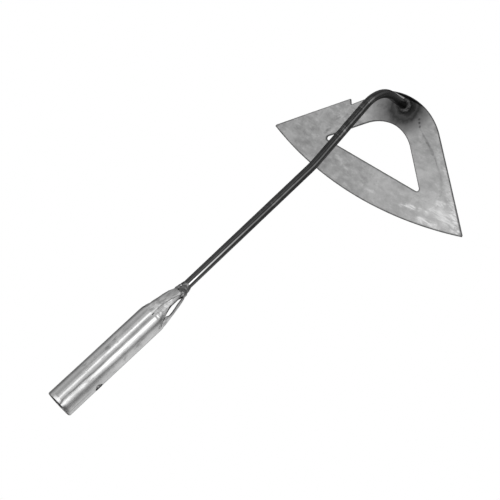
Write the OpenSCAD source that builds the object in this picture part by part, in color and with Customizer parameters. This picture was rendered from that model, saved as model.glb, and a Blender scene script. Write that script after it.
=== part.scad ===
// Hollow weeding hoe head: a round bar joins a tube socket to a hollow triangular blade.
// Everything is welded, so nothing on it moves.
// Frame: millimetres, origin at the centre of the socket's mouth, +X from the mouth to the blade,
// +Z up, +Y towards the blade ear that carries the step. The blade hangs below the bar.
// Endings: _r radius, _d diameter, _v distance along the plate from the line between the
// ear tips, positive towards the apex.

/* [Socket tube] */
// Outside diameter of the socket tube
socket_od = 26.5; // [25:0.1:28]
// Wall thickness of the socket tube
socket_wall = 1.2; // [1:0.1:1.5]
// Length of the straight round part, from the mouth to the shoulder
socket_len = 110; // [95:1:120]
// Length over which the tongues taper in, from the shoulder to the bar
cone_len = 32; // [30:1:36]
// Length of the tongue tips that lie along the bar
tip_len = 3; // [2:0.5:5]
// Gap between the tongue tips and the bar
tip_gap = 0.45; // [0.45:0.05:0.7]

/* [Tongues] */
// Angle of the first slit, which has closed up, from +Y towards +Z
slit_1 = 57; // [52:1:62]
// Angle of the second slit, which has closed up
slit_2 = 117; // [112:1:122]
// Angle of the third slit, which has stayed open
slit_3 = 174; // [172:1:179]
// Angle of the fourth slit, which has stayed open
slit_4 = 255; // [245:1:260]
// Angle of the fifth slit, which has closed up
slit_5 = 307; // [302:1:312]
// Angle of the sixth slit, which has closed up
slit_6 = 362; // [357:1:367]
// Width of a slit that has closed up
slit_width = 0.6; // [0.4:0.1:1]
// Widest gap of a slit that has stayed open
gap_width = 4; // [2:0.1:5]

/* [Screw hole] */
// Diameter of the handle screw's hole
hole_d = 7.4; // [4:0.1:8]
// Distance of the hole from the mouth
hole_x = 34.2; // [20:0.1:60]
// Direction of the hole, from +Y towards +Z
hole_angle = 201; // [180:1:220]

/* [Bar] */
// Diameter of the round bar
bar_d = 8.1; // [7:0.1:9]
// How far the bar reaches back inside the nose, from the tongue tips
bar_inside = 24; // [15:1:40]
// Height of the bar above the tube's axis at the nose
bar_lift = 0.35; // [0:0.05:0.4]
// Rise of the long straight run, in degrees
rise_1 = 0.9; // [0:0.05:1.5]
// Distance from the mouth to the gentle bend
bend_1_x = 313; // [290:1:330]
// Rise after the gentle bend, in degrees
rise_2 = 9.7; // [7:0.1:12]
// Radius of the gentle bend
bend_1_r = 90; // [60:1:200]
// Distance from the mouth to the corner of the tight bend
bend_2_x = 408.2; // [400:0.1:430]
// Fall of the short end, in degrees
fall = 64.6; // [60:0.1:75]
// Radius of the tight bend
bend_2_r = 28.1; // [24:0.1:36]
// Distance from the tight bend's corner to the plate
bar_drop = 49.1; // [44:0.1:60]

/* [Blade] */
// Thickness of the plate
plate_thickness = 2; // [1.5:0.1:3]
// Tilt of the plate, from level, rising away from the socket
plate_tilt = 26.75; // [20:0.25:35]
// Distance from the line between the ear tips to the top of the apex
apex_v = 88.5; // [86:0.1:92]
// Radius of the rounded apex
apex_r = 74.2; // [70:0.1:80]
// Slope of the straight sides, in degrees from the line between the ears
side_slope = 42.2; // [41:0.1:44]
// Half width at the blunted ear tips
ear_y = 126; // [124:0.1:127]
// Radius of the cutting edge
cut_r = 444.8; // [430:0.1:470]
// How far the cutting edge bows past the line between the ears
cut_bow = 19.5; // [17:0.1:22]
// Distance from the line between the ears to the bar
weld_v = 78.2; // [74:0.1:79]

/* [Window] */
// Distance from the line between the ears to the top of the window
window_top = 57.6; // [52:0.1:60]
// Radius of the window's top
window_r = 43.5; // [40:0.1:46]
// Slope of the window's sides
window_slope = 42.6; // [41:0.1:45]
// Distance from the line between the ears to the window's straight edge
window_v = 13.7; // [11:0.1:16]
// Radius of the window's two lower corners
window_corner = 2.0; // [1.5:0.1:5]

/* [Step] */
// Half width at the inner end of the step
step_y = 56.2; // [54:0.1:58]
// Distance of the step's inner end from the line between the ears
step_v = 55; // [54:0.1:56]
// Slope of the cut-back edge above the step
step_slope = 44.3; // [43:0.1:45.5]

/* [Welds] */
// Length of the bead round the nose
nose_bead_len = 10.2; // [7.5:0.1:11]
// Height of that bead over the tongue tips
nose_bead_h = 0.4; // [0.3:0.1:1]
// Radius of the bead on the plate
plate_bead_r = 7.3; // [6.5:0.1:8]
// Height of the bead up the bar
plate_bead_h = 4; // [3:0.1:5]

/* [Hidden] */
$fn = 96;

// Unit vector at an angle from the first axis towards the second
function direction(angle) = [cos(angle), sin(angle)];

// Half an outline followed by its mirror image across y = 0, in reverse order
function mirrored(half) =
  concat(half, [for (i = [len(half) - 1 : -1 : 0]) [half[i][0], -half[i][1]]]);

// Socket
socket_r = socket_od / 2;
bore_r = socket_r - socket_wall;
bar_r = bar_d / 2;
tip_inner_r = bar_r + tip_gap;
tip_outer_r = tip_inner_r + socket_wall;
cone_x = socket_len + cone_len; // where the taper ends
tip_x = cone_x + tip_len;

// Each slit's angle and its widest gap
SLITS = [
  [slit_1, slit_width], [slit_2, slit_width], [slit_3, gap_width],
  [slit_4, gap_width], [slit_5, slit_width], [slit_6, slit_width],
];
slit_behind = 1.2;       // how far a slit starts behind the shoulder
slit_widen_x = 2.3;      // from the shoulder to where an open slit starts to widen
slit_widest_at = 0.45;   // where it is widest, as a share of the taper
slit_narrow_back = 3.7;  // from where it is narrow again to the taper's end

// Bar centreline, as [x, z] points
nose_x = cone_x + 3;     // where bar_lift applies
bar_lap = 0.4;           // how far each straight run laps into the bend next to it
bend_swell = 0.015;      // how much each bend's radius exceeds the straight runs'
end_extra = 8;           // extra length that takes the short end through the plate's upper face
bar_x0 = tip_x - bar_inside;
bar_start = [bar_x0, bar_lift + (bar_x0 - nose_x) * tan(rise_1)];
bend_1_z = bar_lift + (bend_1_x - nose_x) * tan(rise_1);
bend_1 = [bend_1_x, bend_1_z];
bend_2 = [bend_2_x, bend_1_z + (bend_2_x - bend_1_x) * tan(rise_2)];
bar_end = bend_2 + bar_drop * direction(-fall);
// From each bend's corner to where its arc meets the straight run
bend_1_tangent = bend_1_r * tan((rise_2 - rise_1) / 2);
bend_2_tangent = bend_2_r * tan((rise_2 + fall) / 2);
bend_1_start = bend_1 - bend_1_tangent * direction(rise_1);
bend_1_end = bend_1 + bend_1_tangent * direction(rise_2);
bend_2_start = bend_2 - bend_2_tangent * direction(rise_2);
bend_2_end = bend_2 + bend_2_tangent * direction(-fall);

// Blade
apex_centre_v = apex_v - apex_r;
cut_centre_v = cut_r - cut_bow;
side_end_v = -8;         // where the sides stop sloping, outside the ear tips
outline_end_v = -30;     // beyond the cutting edge, which trims the outline
window_centre_v = window_top - window_r;
corner_v = window_v + window_corner;
corner_y = (window_r - window_corner - (corner_v - window_centre_v) * cos(window_slope))
  / sin(window_slope);
step_rise = 9;           // the step's edge goes this far towards the apex
step_width = 7.6;        // while going this far out, past the blade's side
step_cut_depth = 40;     // reach of the cut's outer edge from the step, towards the apex
step_cut_inward = 34;    // how far in from step_y the cut-back edge runs

// Half width of the straight sides at a given distance from the line between the ears
function side_y(v) = (apex_r - (v - apex_centre_v) * cos(side_slope)) / sin(side_slope);

module at_xz(point) {
  translate([point[0], 0, point[1]]) children();
}

// Turns +Z to lie along +X, starting at x
module along_x(x = 0) {
  translate([x, 0, 0]) rotate([0, 90, 0]) children();
}

// Turns +Z to point away from the tube's axis, at an angle from +Y towards +Z
module facing(angle) {
  rotate([angle - 90, 0, 0]) children();
}

// Places a shape drawn on the plate's upper face, with x along the plate towards the apex
module on_plate() {
  at_xz(bar_end - weld_v * direction(plate_tilt)) rotate([0, -plate_tilt, 0]) children();
}

module bar_run(start, rise, length) {
  at_xz(start) rotate([0, 90 - rise, 0]) cylinder(d = bar_d, h = length);
}

module bar_bend(centre, radius, start_angle, sweep) {
  at_xz(centre) rotate([90, 0, 0]) rotate([0, 0, start_angle])
    rotate_extrude(angle = sweep, $fn = 240)
      translate([radius, 0]) circle(d = bar_d + 2 * bend_swell, $fn = 96);
}

module bar_solid() {
  union() {
    bar_run(bar_start, rise_1, (bend_1_start[0] - bar_x0) / cos(rise_1) + bar_lap);
    bar_bend(bend_1_start + bend_1_r * direction(rise_1 + 90),
      bend_1_r, rise_1 - 90, rise_2 - rise_1);
    bar_run(bend_1_end - bar_lap * direction(rise_2), rise_2,
      norm(bend_2_start - bend_1_end) + 2 * bar_lap);
    bar_bend(bend_2_start + bend_2_r * direction(rise_2 - 90),
      bend_2_r, 90 - fall, rise_2 + fall);
    bar_run(bend_2_end - bar_lap * direction(-fall), -fall,
      bar_drop - bend_2_tangent + end_extra);
  }
}

module blade_outline() {
  intersection() {
    translate([cut_centre_v, 0]) circle(r = cut_r, $fn = 720);
    // Blunts the ear tips
    translate([-40, -ear_y]) square([160, 2 * ear_y]);
    union() {
      translate([apex_centre_v, 0]) circle(r = apex_r, $fn = 240);
      polygon(mirrored([
        [apex_centre_v, 0] + apex_r * direction(side_slope),
        [side_end_v, side_y(side_end_v)],
        [outline_end_v, side_y(side_end_v)],
      ]));
    }
  }
}

module window_outline() {
  union() {
    // Rounded top
    intersection() {
      translate([window_centre_v, 0]) circle(r = window_r, $fn = 180);
      translate([corner_v, -80]) square([60, 160]);
    }
    for (side = [-1, 1])
      translate([corner_v, side * corner_y]) circle(r = window_corner, $fn = 48);
    polygon(mirrored([
      [window_centre_v, 0] + window_r * direction(window_slope),
      [corner_v, corner_y] + window_corner * direction(window_slope),
      [corner_v, corner_y],
      [window_v, corner_y],
    ]));
  }
}

// The bite taken out above the step
module step_cut() {
  polygon([
    [step_v, step_y],
    [step_v + step_rise, step_y + step_width],
    [step_v + step_cut_depth, step_y + step_width],
    [step_v + step_cut_inward * tan(step_slope), step_y - step_cut_inward],
  ]);
}

module blade() {
  color([0.62, 0.63, 0.64]) on_plate()
    translate([0, 0, -plate_thickness]) linear_extrude(height = plate_thickness)
      difference() {
        blade_outline();
        window_outline();
        step_cut();
      }
}

module shank() {
  color([0.25, 0.25, 0.26]) difference() {
    bar_solid();
    // Trims the bar flush with the plate's upper face
    on_plate() translate([40, -20, -30]) cube([70, 40, 30]);
  }
}

// The tube and its taper, before the slits and the hole; points are [radius, x]
module socket_shell() {
  along_x() rotate_extrude() polygon([
    [bore_r, 0], [socket_r, 0], [socket_r, socket_len],
    [tip_outer_r, cone_x], [tip_outer_r, tip_x],
    [tip_inner_r, tip_x], [tip_inner_r, cone_x], [bore_r, socket_len],
  ]);
}

// A slit runs from just behind the shoulder to past the tip, widest part-way along if open
module slit(widest) {
  edge = -slit_width / 2;
  past_tip = cone_len + tip_len + 1;
  translate([socket_len, 0, 0]) linear_extrude(height = socket_r + 2)
    polygon(mirrored([
      [-slit_behind, edge],
      [slit_widen_x, edge],
      [cone_len * slit_widest_at, -widest / 2],
      [cone_len - slit_narrow_back, edge],
      [past_tip, edge],
    ]));
}

module socket() {
  color([0.78, 0.79, 0.8]) difference() {
    socket_shell();
    for (entry = SLITS) facing(entry[0]) slit(entry[1]);
    translate([hole_x, 0, 0]) facing(hole_angle) translate([0, 0, bore_r - 3])
      cylinder(d = hole_d, h = 8);
  }
}

// Bead round the tongue tips and the bar; points are [radius, distance along x]
module socket_weld() {
  color([0.45, 0.45, 0.46]) difference() {
    along_x(cone_x + 0.2) rotate_extrude() polygon([
      [0, 0],
      [tip_outer_r, 0],
      [tip_outer_r + nose_bead_h, 0.9],
      [tip_outer_r + nose_bead_h * 0.8, nose_bead_len * 0.35],
      [tip_outer_r - 0.3, nose_bead_len * 0.62],
      [bar_r + 0.9, nose_bead_len - 0.5],
      [0, nose_bead_len],
    ]);
    socket_shell();
    bar_solid();
    // Keeps the bead out of the space inside the tongue tips
    along_x(bar_x0) cylinder(r = (tip_inner_r + tip_outer_r) / 2, h = tip_x - bar_x0);
  }
}

// Bead round the bar's foot; points are [radius, height above the plate]
module blade_weld() {
  color([0.22, 0.22, 0.23]) difference() {
    on_plate() translate([weld_v, 0, 0]) rotate_extrude() polygon([
      [0, 0],
      [plate_bead_r, 0],
      [plate_bead_r - 0.2, 0.9],
      [plate_bead_r - 0.9, 2.1],
      [bar_r + 1.2, plate_bead_h - 0.6],
      [bar_r + 0.5, plate_bead_h],
      [0, plate_bead_h],
    ]);
    bar_solid();
  }
}

blade();
shank();
socket();
socket_weld();
blade_weld();
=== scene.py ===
"""A steel tool head: a galvanised socket tube, a bent round bar and a pierced blade plate.

The tube's axis is X, with its mouth at x = 0. Its far end is slit into six tongues, folded in and
welded round the bar. The bar runs on along +X, rises, then drops on to the plate, which is tilted
up towards +X. Sizes are in mm. Angles round the X axis run from +Y towards +Z.
On the plate, y is the CAD's Y and v runs from the cutting side to the apex.
"""
import itertools
import math

import bpy
import numpy as np
from mathutils import Matrix, Vector, geometry


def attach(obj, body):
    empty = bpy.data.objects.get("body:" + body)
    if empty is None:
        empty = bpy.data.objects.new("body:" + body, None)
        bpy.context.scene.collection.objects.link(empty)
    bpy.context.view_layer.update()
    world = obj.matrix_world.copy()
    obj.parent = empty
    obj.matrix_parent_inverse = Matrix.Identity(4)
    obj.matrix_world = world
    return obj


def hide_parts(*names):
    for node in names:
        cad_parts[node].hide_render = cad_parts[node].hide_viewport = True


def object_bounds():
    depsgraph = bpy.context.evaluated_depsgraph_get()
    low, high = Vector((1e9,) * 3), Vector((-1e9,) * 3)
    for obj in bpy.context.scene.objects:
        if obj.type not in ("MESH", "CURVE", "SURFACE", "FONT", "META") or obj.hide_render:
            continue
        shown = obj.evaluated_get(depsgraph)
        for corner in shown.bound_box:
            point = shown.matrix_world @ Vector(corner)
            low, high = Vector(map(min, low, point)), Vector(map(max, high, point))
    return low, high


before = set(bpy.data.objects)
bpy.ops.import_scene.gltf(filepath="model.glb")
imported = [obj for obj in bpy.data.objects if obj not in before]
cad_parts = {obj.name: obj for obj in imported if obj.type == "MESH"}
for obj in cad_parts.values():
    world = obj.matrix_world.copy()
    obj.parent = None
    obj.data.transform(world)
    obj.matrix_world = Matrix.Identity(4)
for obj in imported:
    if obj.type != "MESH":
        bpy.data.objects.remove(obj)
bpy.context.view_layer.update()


# ---------------------------------------------------------------- sizes, mm and radians
MM = 0.001
SOCKET_R, WALL = 13.25, 1.2
SLIT_X = 108.4                      # where the slits between the tongues begin
CONE_X = 142.0
TIP_X = CONE_X + 3.0                # the tongues' tips
HOLE_X, HOLE_ANGLE = 34.2, math.radians(201.0)
BAR_R = 4.18                        # with its mill scale
BAR_START = TIP_X - 24.0
LIFT = 0.35                         # bar above the tube's axis at the tongue tips
RISE_1, RISE_2, FALL = math.radians(0.9), math.radians(9.7), math.radians(64.6)
BEND_1_X, BEND_1_R = 313.0, 90.0
BEND_2_X, BEND_2_R = 408.2, 28.1
DROP = 49.1                         # length of the short leg from the second bend's corner
LEAN = 0.8                          # sideways lean of the short leg
PLATE_T, TILT, WELD_V = 2.0, math.radians(26.75), 78.2
APEX_R, APEX_TOP = 74.2, 88.5
APEX_V = APEX_TOP - APEX_R          # centre of the apex's arc

BEND_1_Z = LIFT + (BEND_1_X - TIP_X) * math.tan(RISE_1)
BEND_2_Z = BEND_1_Z + (BEND_2_X - BEND_1_X) * math.tan(RISE_2)
BAR_END = np.array([BEND_2_X + DROP * math.cos(FALL), 0.0, BEND_2_Z - DROP * math.sin(FALL)])
ACROSS = np.array([0, 1.0, 0])
ALONG = np.array([math.cos(TILT), 0.0, math.sin(TILT)])       # along the plate to its apex
PLATE_UP = np.array([-math.sin(TILT), 0.0, math.cos(TILT)])   # the plate's upper normal
PLATE_O = BAR_END - ALONG * WELD_V


# ---------------------------------------------------------------- numeric helpers
def corner_values(corners, seed):
    """A repeatable value in [-1, 1] for each whole-number point."""
    x, y, z = corners.T
    code = (x * 73856093) ^ (y * 19349663) ^ (z * 83492791) ^ (seed * 2654435761)
    code = (code ^ (code >> 13)) * 1274126177 & 0x7FFFFFFF
    code = (code ^ (code >> 15)) * 2246822519 & 0x7FFFFFFF
    return (code % 65536) / 32767.5 - 1.0


def one_noise(points, size, seed):
    scaled = np.asarray(points, float) / np.asarray(size, float)
    cell = np.floor(scaled).astype(np.int64)
    part = scaled - cell
    ease = part * part * part * (part * (part * 6 - 15) + 10)
    total = np.zeros(len(scaled))
    for corner in itertools.product((0, 1), repeat=3):
        weight = np.where(corner, ease, 1 - ease)
        total += corner_values(cell + corner, seed) * (weight[:, 0] * weight[:, 1] * weight[:, 2])
    return total


def noise(points, *layers):
    """Smooth noise at points (n by 3, mm). Each layer is (height, feature size, seed)."""
    return sum(height * one_noise(points, size, seed) for height, size, seed in layers)


def smoothstep(start, end, x):
    part = np.clip((np.asarray(x, float) - start) / (end - start), 0, 1)
    return part * part * (3 - 2 * part)


def bell(x, centre, width, power=2):
    return np.exp(-((x - centre) / width) ** power)


def turn_bell(degrees, centre, width, power=2):
    """A bell over angles, measured the short way round."""
    return bell((degrees - centre + 180) % 360 - 180, 0, width, power)


def wrap(radians):
    return (radians + math.pi) % (2 * math.pi) - math.pi


def in_loop(points, loop):
    """Which points lie inside a closed 2D loop."""
    x, y = points[:, 0], points[:, 1]
    inside = np.zeros(len(points), bool)
    for (x0, y0), (x1, y1) in zip(loop, np.roll(loop, -1, axis=0)):
        if y0 != y1:
            inside ^= ((y0 > y) != (y1 > y)) & (x < (x1 - x0) * (y - y0) / (y1 - y0) + x0)
    return inside


def loop_distance(points, loop):
    best = np.full(len(points), 1e9)
    for start, step in zip(loop, np.roll(loop, -1, axis=0) - loop):
        along = np.clip(((points - start) @ step) / max(step @ step, 1e-12), 0, 1)
        best = np.minimum(best, np.hypot(points[:, 0] - start[0] - along * step[0],
                                         points[:, 1] - start[1] - along * step[1]))
    return best


def fillet(corners, spacing=0.35):
    """Points of a closed polygon given as (point, corner radius) pairs."""
    out = []
    for i, (point, radius) in enumerate(corners):
        if radius == 0:
            out.append(point)
            continue
        before, after = corners[i - 1][0], corners[(i + 1) % len(corners)][0]
        back = (before - point) / np.linalg.norm(before - point)
        ahead = (after - point) / np.linalg.norm(after - point)
        half = math.acos(np.clip(back @ ahead, -1, 1)) / 2
        reach = radius / math.tan(half)
        middle = back + ahead
        centre = point + middle / np.linalg.norm(middle) * (radius / math.sin(half))
        start, end = (math.atan2(*(point + arm * reach - centre)[::-1]) for arm in (back, ahead))
        sweep = wrap(end - start)
        count = max(3, int(abs(sweep) * radius / spacing) + 3)
        for k in range(count + 1):
            angle = start + sweep * k / count
            out.append(centre + radius * np.array([math.cos(angle), math.sin(angle)]))
    return np.array(out)


def densify(loop, spacing):
    out = []
    for start, end in zip(loop, np.roll(loop, -1, axis=0)):
        count = max(1, int(np.linalg.norm(end - start) / spacing + 0.999))
        out += [start + (end - start) * k / count for k in range(count)]
    return np.array(out)


def drop_repeats(loop):
    return loop[np.linalg.norm(loop - np.roll(loop, 1, axis=0), axis=1) > 0.05]


def loop_normals(loop):
    """Outward normals of a counter-clockwise closed loop."""
    before, after = loop - np.roll(loop, 1, axis=0), np.roll(loop, -1, axis=0) - loop
    before /= np.linalg.norm(before, axis=1)[:, None]
    after /= np.linalg.norm(after, axis=1)[:, None]
    tangent = before + after
    tangent /= np.linalg.norm(tangent, axis=1)[:, None]
    return np.c_[tangent[:, 1], -tangent[:, 0]]


# ---------------------------------------------------------------- mesh helpers
def triangulate(points, first, second):
    """Edges of the two closed loops that open the list, and the triangles that respect them."""
    edges = [(k, (k + 1) % first) for k in range(first)]
    edges += [(first + k, first + (k + 1) % second) for k in range(second)]
    result = geometry.delaunay_2d_cdt([Vector(p) for p in points], edges, [], 0, 1e-7)
    source = [ids[0] for ids in result[3]]
    return edges, np.array([[source[i] for i in face] for face in result[2] if len(face) == 3])


def band(lower, upper, flip=False, side_first=False):
    """Quads joining two closed rings of vertex numbers."""
    quads = []
    for i in range(len(lower)):
        j = (i + 1) % len(lower)
        if side_first:
            quad = (lower[i], upper[i], upper[j], lower[j])
        else:
            quad = (lower[i], lower[j], upper[j], upper[i])
        quads.append(quad[::-1] if flip else quad)
    return quads


def face_normal(points, face):
    return np.cross(points[face[1]] - points[face[0]], points[face[2]] - points[face[0]])


def make_piece(name, points, faces, material, node, sharp, attributes=None):
    """A mesh from points in mm, riding on the one body and standing in for a CAD node."""
    mesh = bpy.data.meshes.new(name)
    corners = [tuple(int(i) for i in face) for face in faces]
    mesh.from_pydata([tuple(p) for p in np.asarray(points, float) * MM], [], corners)
    mesh.validate()
    mesh.update()
    mesh.shade_smooth()
    mesh.set_sharp_from_angle(angle=math.radians(sharp))
    for key, values in (attributes or {}).items():
        layer = mesh.attributes.new(key, "FLOAT", "POINT")
        layer.data.foreach_set("value", np.asarray(values, np.float32))
    piece = bpy.data.objects.new(name, mesh)
    bpy.context.scene.collection.objects.link(piece)
    mesh.materials.append(material)
    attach(piece, "root")
    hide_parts(node)
    return piece


# ---------------------------------------------------------------- shader helpers
class Value:
    """A shader node's output; sums with it add Math nodes."""

    def __init__(self, nodes, socket):
        self.nodes, self.socket = nodes, socket

    def math(self, operation, *others, clamp=False):
        return self.nodes.node("Math", dict(enumerate((self, *others))),
                               operation=operation, use_clamp=clamp)

    def __add__(self, other):
        return self.math("ADD", other)

    def __sub__(self, other):
        return self.math("SUBTRACT", other)

    def __rsub__(self, other):
        return self.nodes.node("Math", {0: other, 1: self}, operation="SUBTRACT")

    def __mul__(self, other):
        return self.math("MULTIPLY", other)

    def __truediv__(self, other):
        return self.math("DIVIDE", other)

    def map(self, span, to=(0.0, 1.0), smooth=False):
        """Carries the span on to another range, held at its ends."""
        inputs = {"Value": self, "From Min": span[0], "From Max": span[1],
                  "To Min": to[0], "To Max": to[1]}
        return self.nodes.node("MapRange", inputs, "Result",
                               interpolation_type="SMOOTHSTEP" if smooth else "LINEAR")

    def ramp(self, *stops):
        """Greys by (position, brightness)."""
        node = self.nodes.tree.nodes.new("ShaderNodeValToRGB")
        elements = node.color_ramp.elements
        while len(elements) < len(stops):
            elements.new(0.5)
        for element, (position, grey) in zip(elements, stops):
            element.position = position
            element.color = (grey, grey, grey, 1)
        self.nodes.put(node.inputs["Fac"], self)
        return Value(self.nodes, node.outputs["Color"])

    def mix(self, to, by, blend="MIX"):
        """This colour carried towards a grey or another colour by a factor."""
        target = to if isinstance(to, Value) else (to, to, to, 1)
        # inputs 6 and 7 and output 2 are the Mix node's colour sockets
        return self.nodes.node("Mix", {0: by, 6: self, 7: target}, 2,
                               data_type="RGBA", blend_type=blend)


class Nodes:
    """Builds the node tree of a material or a world."""

    def __init__(self, owner, coordinates="Object"):
        owner.use_nodes = True
        self.owner, self.tree = owner, owner.node_tree
        self.tree.nodes.clear()
        self.position = self.node("TexCoord", {}, coordinates)

    def put(self, socket, value):
        if isinstance(value, Value):
            self.tree.links.new(value.socket, socket)
        else:
            socket.default_value = value

    def node(self, kind, inputs, output=0, **settings):
        node = self.tree.nodes.new("ShaderNode" + kind)
        for name, setting in settings.items():
            setattr(node, name, setting)
        for key, value in inputs.items():
            self.put(node.inputs[key], value)
        return Value(self, node.outputs[output])

    def noise(self, detail, rough, scale=1, distortion=0.0, stretch=None,
              turn=0.0, shift=(0, 0, 0)):
        """Noise; with stretch, scaled by axis, turned about Z and shifted."""
        vector = self.position
        if stretch:
            vector = self.node("Mapping", {"Vector": vector, "Scale": stretch,
                                           "Rotation": (0, 0, turn), "Location": shift})
        inputs = {"Vector": vector, "Scale": scale, "Detail": detail, "Roughness": rough,
                  "Distortion": distortion}
        return self.node("TexNoise", inputs, "Fac")

    def wobble(self, size, **noise_settings):
        """Noise centred on nought."""
        return (self.noise(**noise_settings) - 0.5) * size

    def attribute(self, name):
        return self.node("Attribute", {}, "Fac", attribute_name=name)

    def xyz(self):
        split = self.node("SeparateXYZ", {0: self.position}).socket.node
        return [Value(self, output) for output in split.outputs]

    def vector_math(self, operation, vector):
        return self.node("VectorMath", {0: self.position, 1: vector}, "Value",
                         operation=operation)

    def distance(self, point):
        """Distance in metres from a point in mm."""
        return self.vector_math("DISTANCE", tuple(float(c) * MM for c in point))

    def bump(self, height, strength, distance):
        return self.node("Bump", {"Height": height, "Strength": strength,
                                  "Distance": distance}, "Normal")

    def principled(self, **inputs):
        named = {key.replace("_", " "): value for key, value in inputs.items()}
        return self.node("BsdfPrincipled", named, "BSDF")

    def white_to_camera(self, shader, white_kind):
        """Plain white for the camera, the given shader for everything else."""
        white = self.node(white_kind, {"Color": (1, 1, 1, 1), "Strength": 1.0})
        camera_ray = self.node("LightPath", {}, "Is Camera Ray")
        return self.node("MixShader", {0: camera_ray, 1: shader, 2: white})

    def finish(self, shader, output="OutputMaterial"):
        self.put(self.tree.nodes.new("ShaderNode" + output).inputs["Surface"], shader)
        return self.owner


def new_material(name):
    return Nodes(bpy.data.materials.new(name))


# ---------------------------------------------------------------- plate material
# straight marks on the plate: y, v of both ends, half-width, soft edge (mm), strength
DARK_MARKS = [
    (66.7, 18.0, 63.2, 24.2, 0.5, 1.3, 0.50), (81.9, 15.8, 74.9, 17.2, 1.2, 2.6, 0.26),
    (89.9, 9.2, 87.4, 7.4, 0.7, 1.8, 0.30), (63.9, 38.3, 61.8, 41.3, 0.5, 1.2, 0.38),
    (62.2, 36.1, 59.5, 39.1, 0.4, 1.0, 0.36), (57.0, 38.6, 54.0, 44.1, 0.4, 1.0, 0.30),
    (101.9, 8.9, 99.6, 8.8, 0.4, 1.4, 0.26), (96.6, -2.1, 93.0, -3.9, 0.6, 1.8, 0.22),
    (81.2, 1.1, 76.9, 1.3, 0.6, 2.0, 0.20), (73.5, 0.6, 71.1, -0.6, 0.5, 1.8, 0.22),
    (19.1, 67.6, 15.5, 73.7, 0.5, 2.0, 0.50), (28.0, 66.0, 23.5, 69.0, 0.4, 1.6, 0.34),
    (44.0, 61.0, 38.0, 66.0, 0.3, 1.4, 0.20), (-17.0, -12.6, -8.0, -10.5, 1.0, 3.2, 0.14),
    (-8.0, 2.0, -4.0, -2.5, 2.0, 4.0, 0.16)]
DIMPLES = [
    (-21.9, 73.2, -22.1, 73.4, 0.5, 1.1, 0.70), (-24.2, 70.6, -24.4, 70.4, 0.5, 1.1, 0.75),
    (-26.8, 67.6, -27.0, 67.4, 0.5, 1.0, 0.60)]
WORN_CURVE = [
    (-28.6, 65.7, -38.6, 60.7, 0.30, 1.4, 0.54), (-38.6, 60.7, -47.9, 55.3, 0.30, 1.5, 0.60),
    (-47.9, 55.3, -59.2, 48.4, 0.30, 1.4, 0.55), (-59.2, 48.4, -74.2, 37.3, 0.25, 1.3, 0.50),
    (-74.2, 37.3, -82.0, 27.8, 0.35, 1.6, 0.54), (-83.0, 25.0, -84.5, 22.0, 0.6, 1.9, 0.56)]
# lighter marks: rubbed metal, and at the -Y ear also a painted highlight
BRIGHT_MARKS = [
    (-51.5, -5.1, -58.5, -2.3, 0.2, 2.4, 0.55), (-58.5, -2.3, -68.0, -0.5, 0.4, 2.6, 0.85),
    (-73.2, 1.1, -82.6, 1.1, 0.3, 2.6, 0.65), (-10.8, -9.0, -17.7, -8.3, 0.2, 3.2, 0.30),
    (-86.2, 13.6, -93.3, 15.6, 0.4, 3.4, 0.70), (-83.7, 6.5, -88.7, 4.7, 0.6, 4.2, 0.50),
    (-101.1, 18.5, -113.2, 7.9, 0.8, 6.4, 1.0), (-112.5, 4.3, -122.2, -2.5, 0.8, 6.4, 1.0),
    (-78.6, -7.0, -96.5, -5.4, 0.5, 4.4, 0.75), (-94.2, 6.6, -106.9, 3.9, 1.0, 8.0, 0.62),
    (-70.4, 46.8, -81.3, 38.3, 0.3, 2.6, 0.42), (-84.0, 33.0, -95.0, 24.0, 0.6, 3.8, 0.40),
    (-60.0, 52.0, -72.0, 41.0, 0.2, 2.4, 0.25), (30.0, 2.0, 40.0, 4.0, 0.4, 3.2, 0.30),
    (20.0, -1.5, 24.0, -1.0, 0.2, 2.6, 0.25)]
# a painted highlight line along the apex
HIGHLIGHT_LINE = [(1.9, 84.1, 17.5, 84.65, 0.30, 0.5, 1.0)]
# heat stain round the weld: distance / 40 mm, brightness
HEAT_RINGS = [(0.0, 0.028), (0.20, 0.028), (0.25, 0.042), (0.295, 0.074), (0.335, 0.056),
              (0.375, 0.040), (0.42, 0.078), (0.53, 0.165), (0.70, 0.270), (0.82, 0.335),
              (1.0, 0.40)]


def length(x, y):
    return (x * x + y * y).math("SQRT")


def strokes(y, v, marks, wobble):
    """The strongest of some soft straight marks, with wandering edges."""
    strongest = None
    for y0, v0, y1, v1, width, soft, strength in marks:
        step_y, step_v = y1 - y0, v1 - v0
        off_y, off_v = y - y0, v - v0
        along = (off_y * step_y + off_v * step_v).math(
            "DIVIDE", max(step_y * step_y + step_v * step_v, 1e-6), clamp=True)
        off = length(along.math("MULTIPLY_ADD", -step_y, off_y),
                     along.math("MULTIPLY_ADD", -step_v, off_v)) + wobble
        mark = off.map(span=(width, width + soft), to=(1.0, 0.0), smooth=True) * strength
        strongest = mark if strongest is None else strongest.math("MAXIMUM", mark)
    return strongest


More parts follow.
